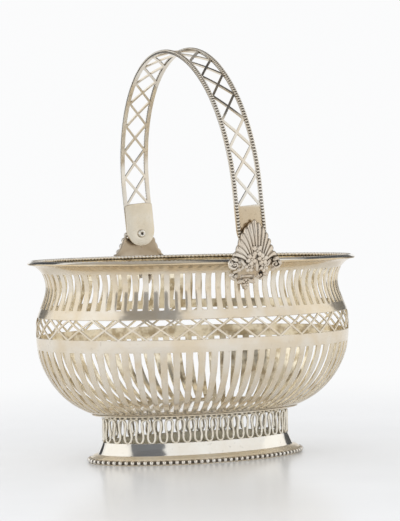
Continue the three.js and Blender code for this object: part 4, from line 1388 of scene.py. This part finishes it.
def toward(azimuth, elevation, distance=FAR_ENOUGH):
    """A place in the studio. Azimuth 0 is in front of the near side, and grows towards +X."""
    a, e = math.radians(azimuth), math.radians(elevation)
    level = distance * math.cos(e)
    return (level * math.sin(a), -level * math.cos(a), distance * math.sin(e))


world_light()
table_top()
card("dark gap left of the camera", toward(-31.5, 29), 1130, 960, (0.16, 0.17, 0.19))
card("darker gap above it", toward(-31.5, 53, 1700), 950, 780, (0.13, 0.135, 0.15))
card("bright wall on the left", toward(-101, 32, 1600), 2300, 1250, (1.15, 1.15, 1.14))
card("bright wall on the right", toward(84, 24, 1700), 900, 900, (1.12, 1.11, 1.08))
card("dark beam along the ceiling", (690, 35, 1900), 2230, 440, (0.04, 0.04, 0.045))
card("dim ceiling", (0, 0, 1950), 2500, 2500, (0.40, 0.37, 0.33))
card("grey wall in front", toward(11, 2), 900, 460, (0.74, 0.74, 0.74))
card("dim room above the backdrop", toward(154, 38), 2600, 1300, (0.31, 0.30, 0.29))
card("dark gap behind on the right", toward(118, 25), 1000, 1500, (0.06, 0.065, 0.07))
card("dark gap behind on the left", toward(-165, 25), 880, 1500, (0.03, 0.035, 0.045))
lamp("left soft lamp", toward(-104, 27, 1500), (2.2, 0.9), 3.6)
lamp("right soft lamp", toward(86, 23, 1500), (0.7, 0.8), 0.6)
lamp("low front lamp", toward(-8, 9, 1500), (1.5, 0.5), 6.5)


# The camera, as it was fitted to the photograph. The sensor's size is that of the longer side

CAMERA_AZIMUTH = math.radians(-25.47)
CAMERA_ELEVATION = math.radians(1.418)
CAMERA_ROLL = math.radians(-1.089)
CAMERA_DISTANCE = 1523.0
CAMERA_HEIGHT = 143.68
CAMERA_OFFSET = 4.865
FOCAL_LENGTH_PIXELS = 2075.9
PHOTO_HEIGHT_PIXELS = 521
SENSOR_LONG_SIDE = 36


def photo_camera():
    """A long lens that looks at the basket from a little above its rim, left of its near side."""
    azimuth, elevation, roll = CAMERA_AZIMUTH, CAMERA_ELEVATION, CAMERA_ROLL
    right = Vector((math.cos(azimuth), math.sin(azimuth), 0))
    flat = math.cos(elevation)
    back = Vector((math.sin(azimuth) * flat, -math.cos(azimuth) * flat, math.sin(elevation)))
    up = back.cross(right)
    place = Vector((0, 0, CAMERA_HEIGHT)) + right * CAMERA_OFFSET + back * CAMERA_DISTANCE
    level = right * math.cos(roll) + up * math.sin(roll)
    upright = up * math.cos(roll) - right * math.sin(roll)
    data = bpy.data.cameras.new("camera")
    data.sensor_width = SENSOR_LONG_SIDE
    data.lens = FOCAL_LENGTH_PIXELS / PHOTO_HEIGHT_PIXELS * SENSOR_LONG_SIDE
    data.clip_start = 0.05
    camera = bpy.data.objects.new("camera", data)
    bpy.context.scene.collection.objects.link(camera)
    turn = Matrix((level, upright, back)).transposed().to_4x4()
    camera.matrix_world = Matrix.Translation(place * MM) @ turn
    bpy.context.scene.camera = camera


photo_camera()
bpy.context.scene.view_settings.view_transform = "Standard"
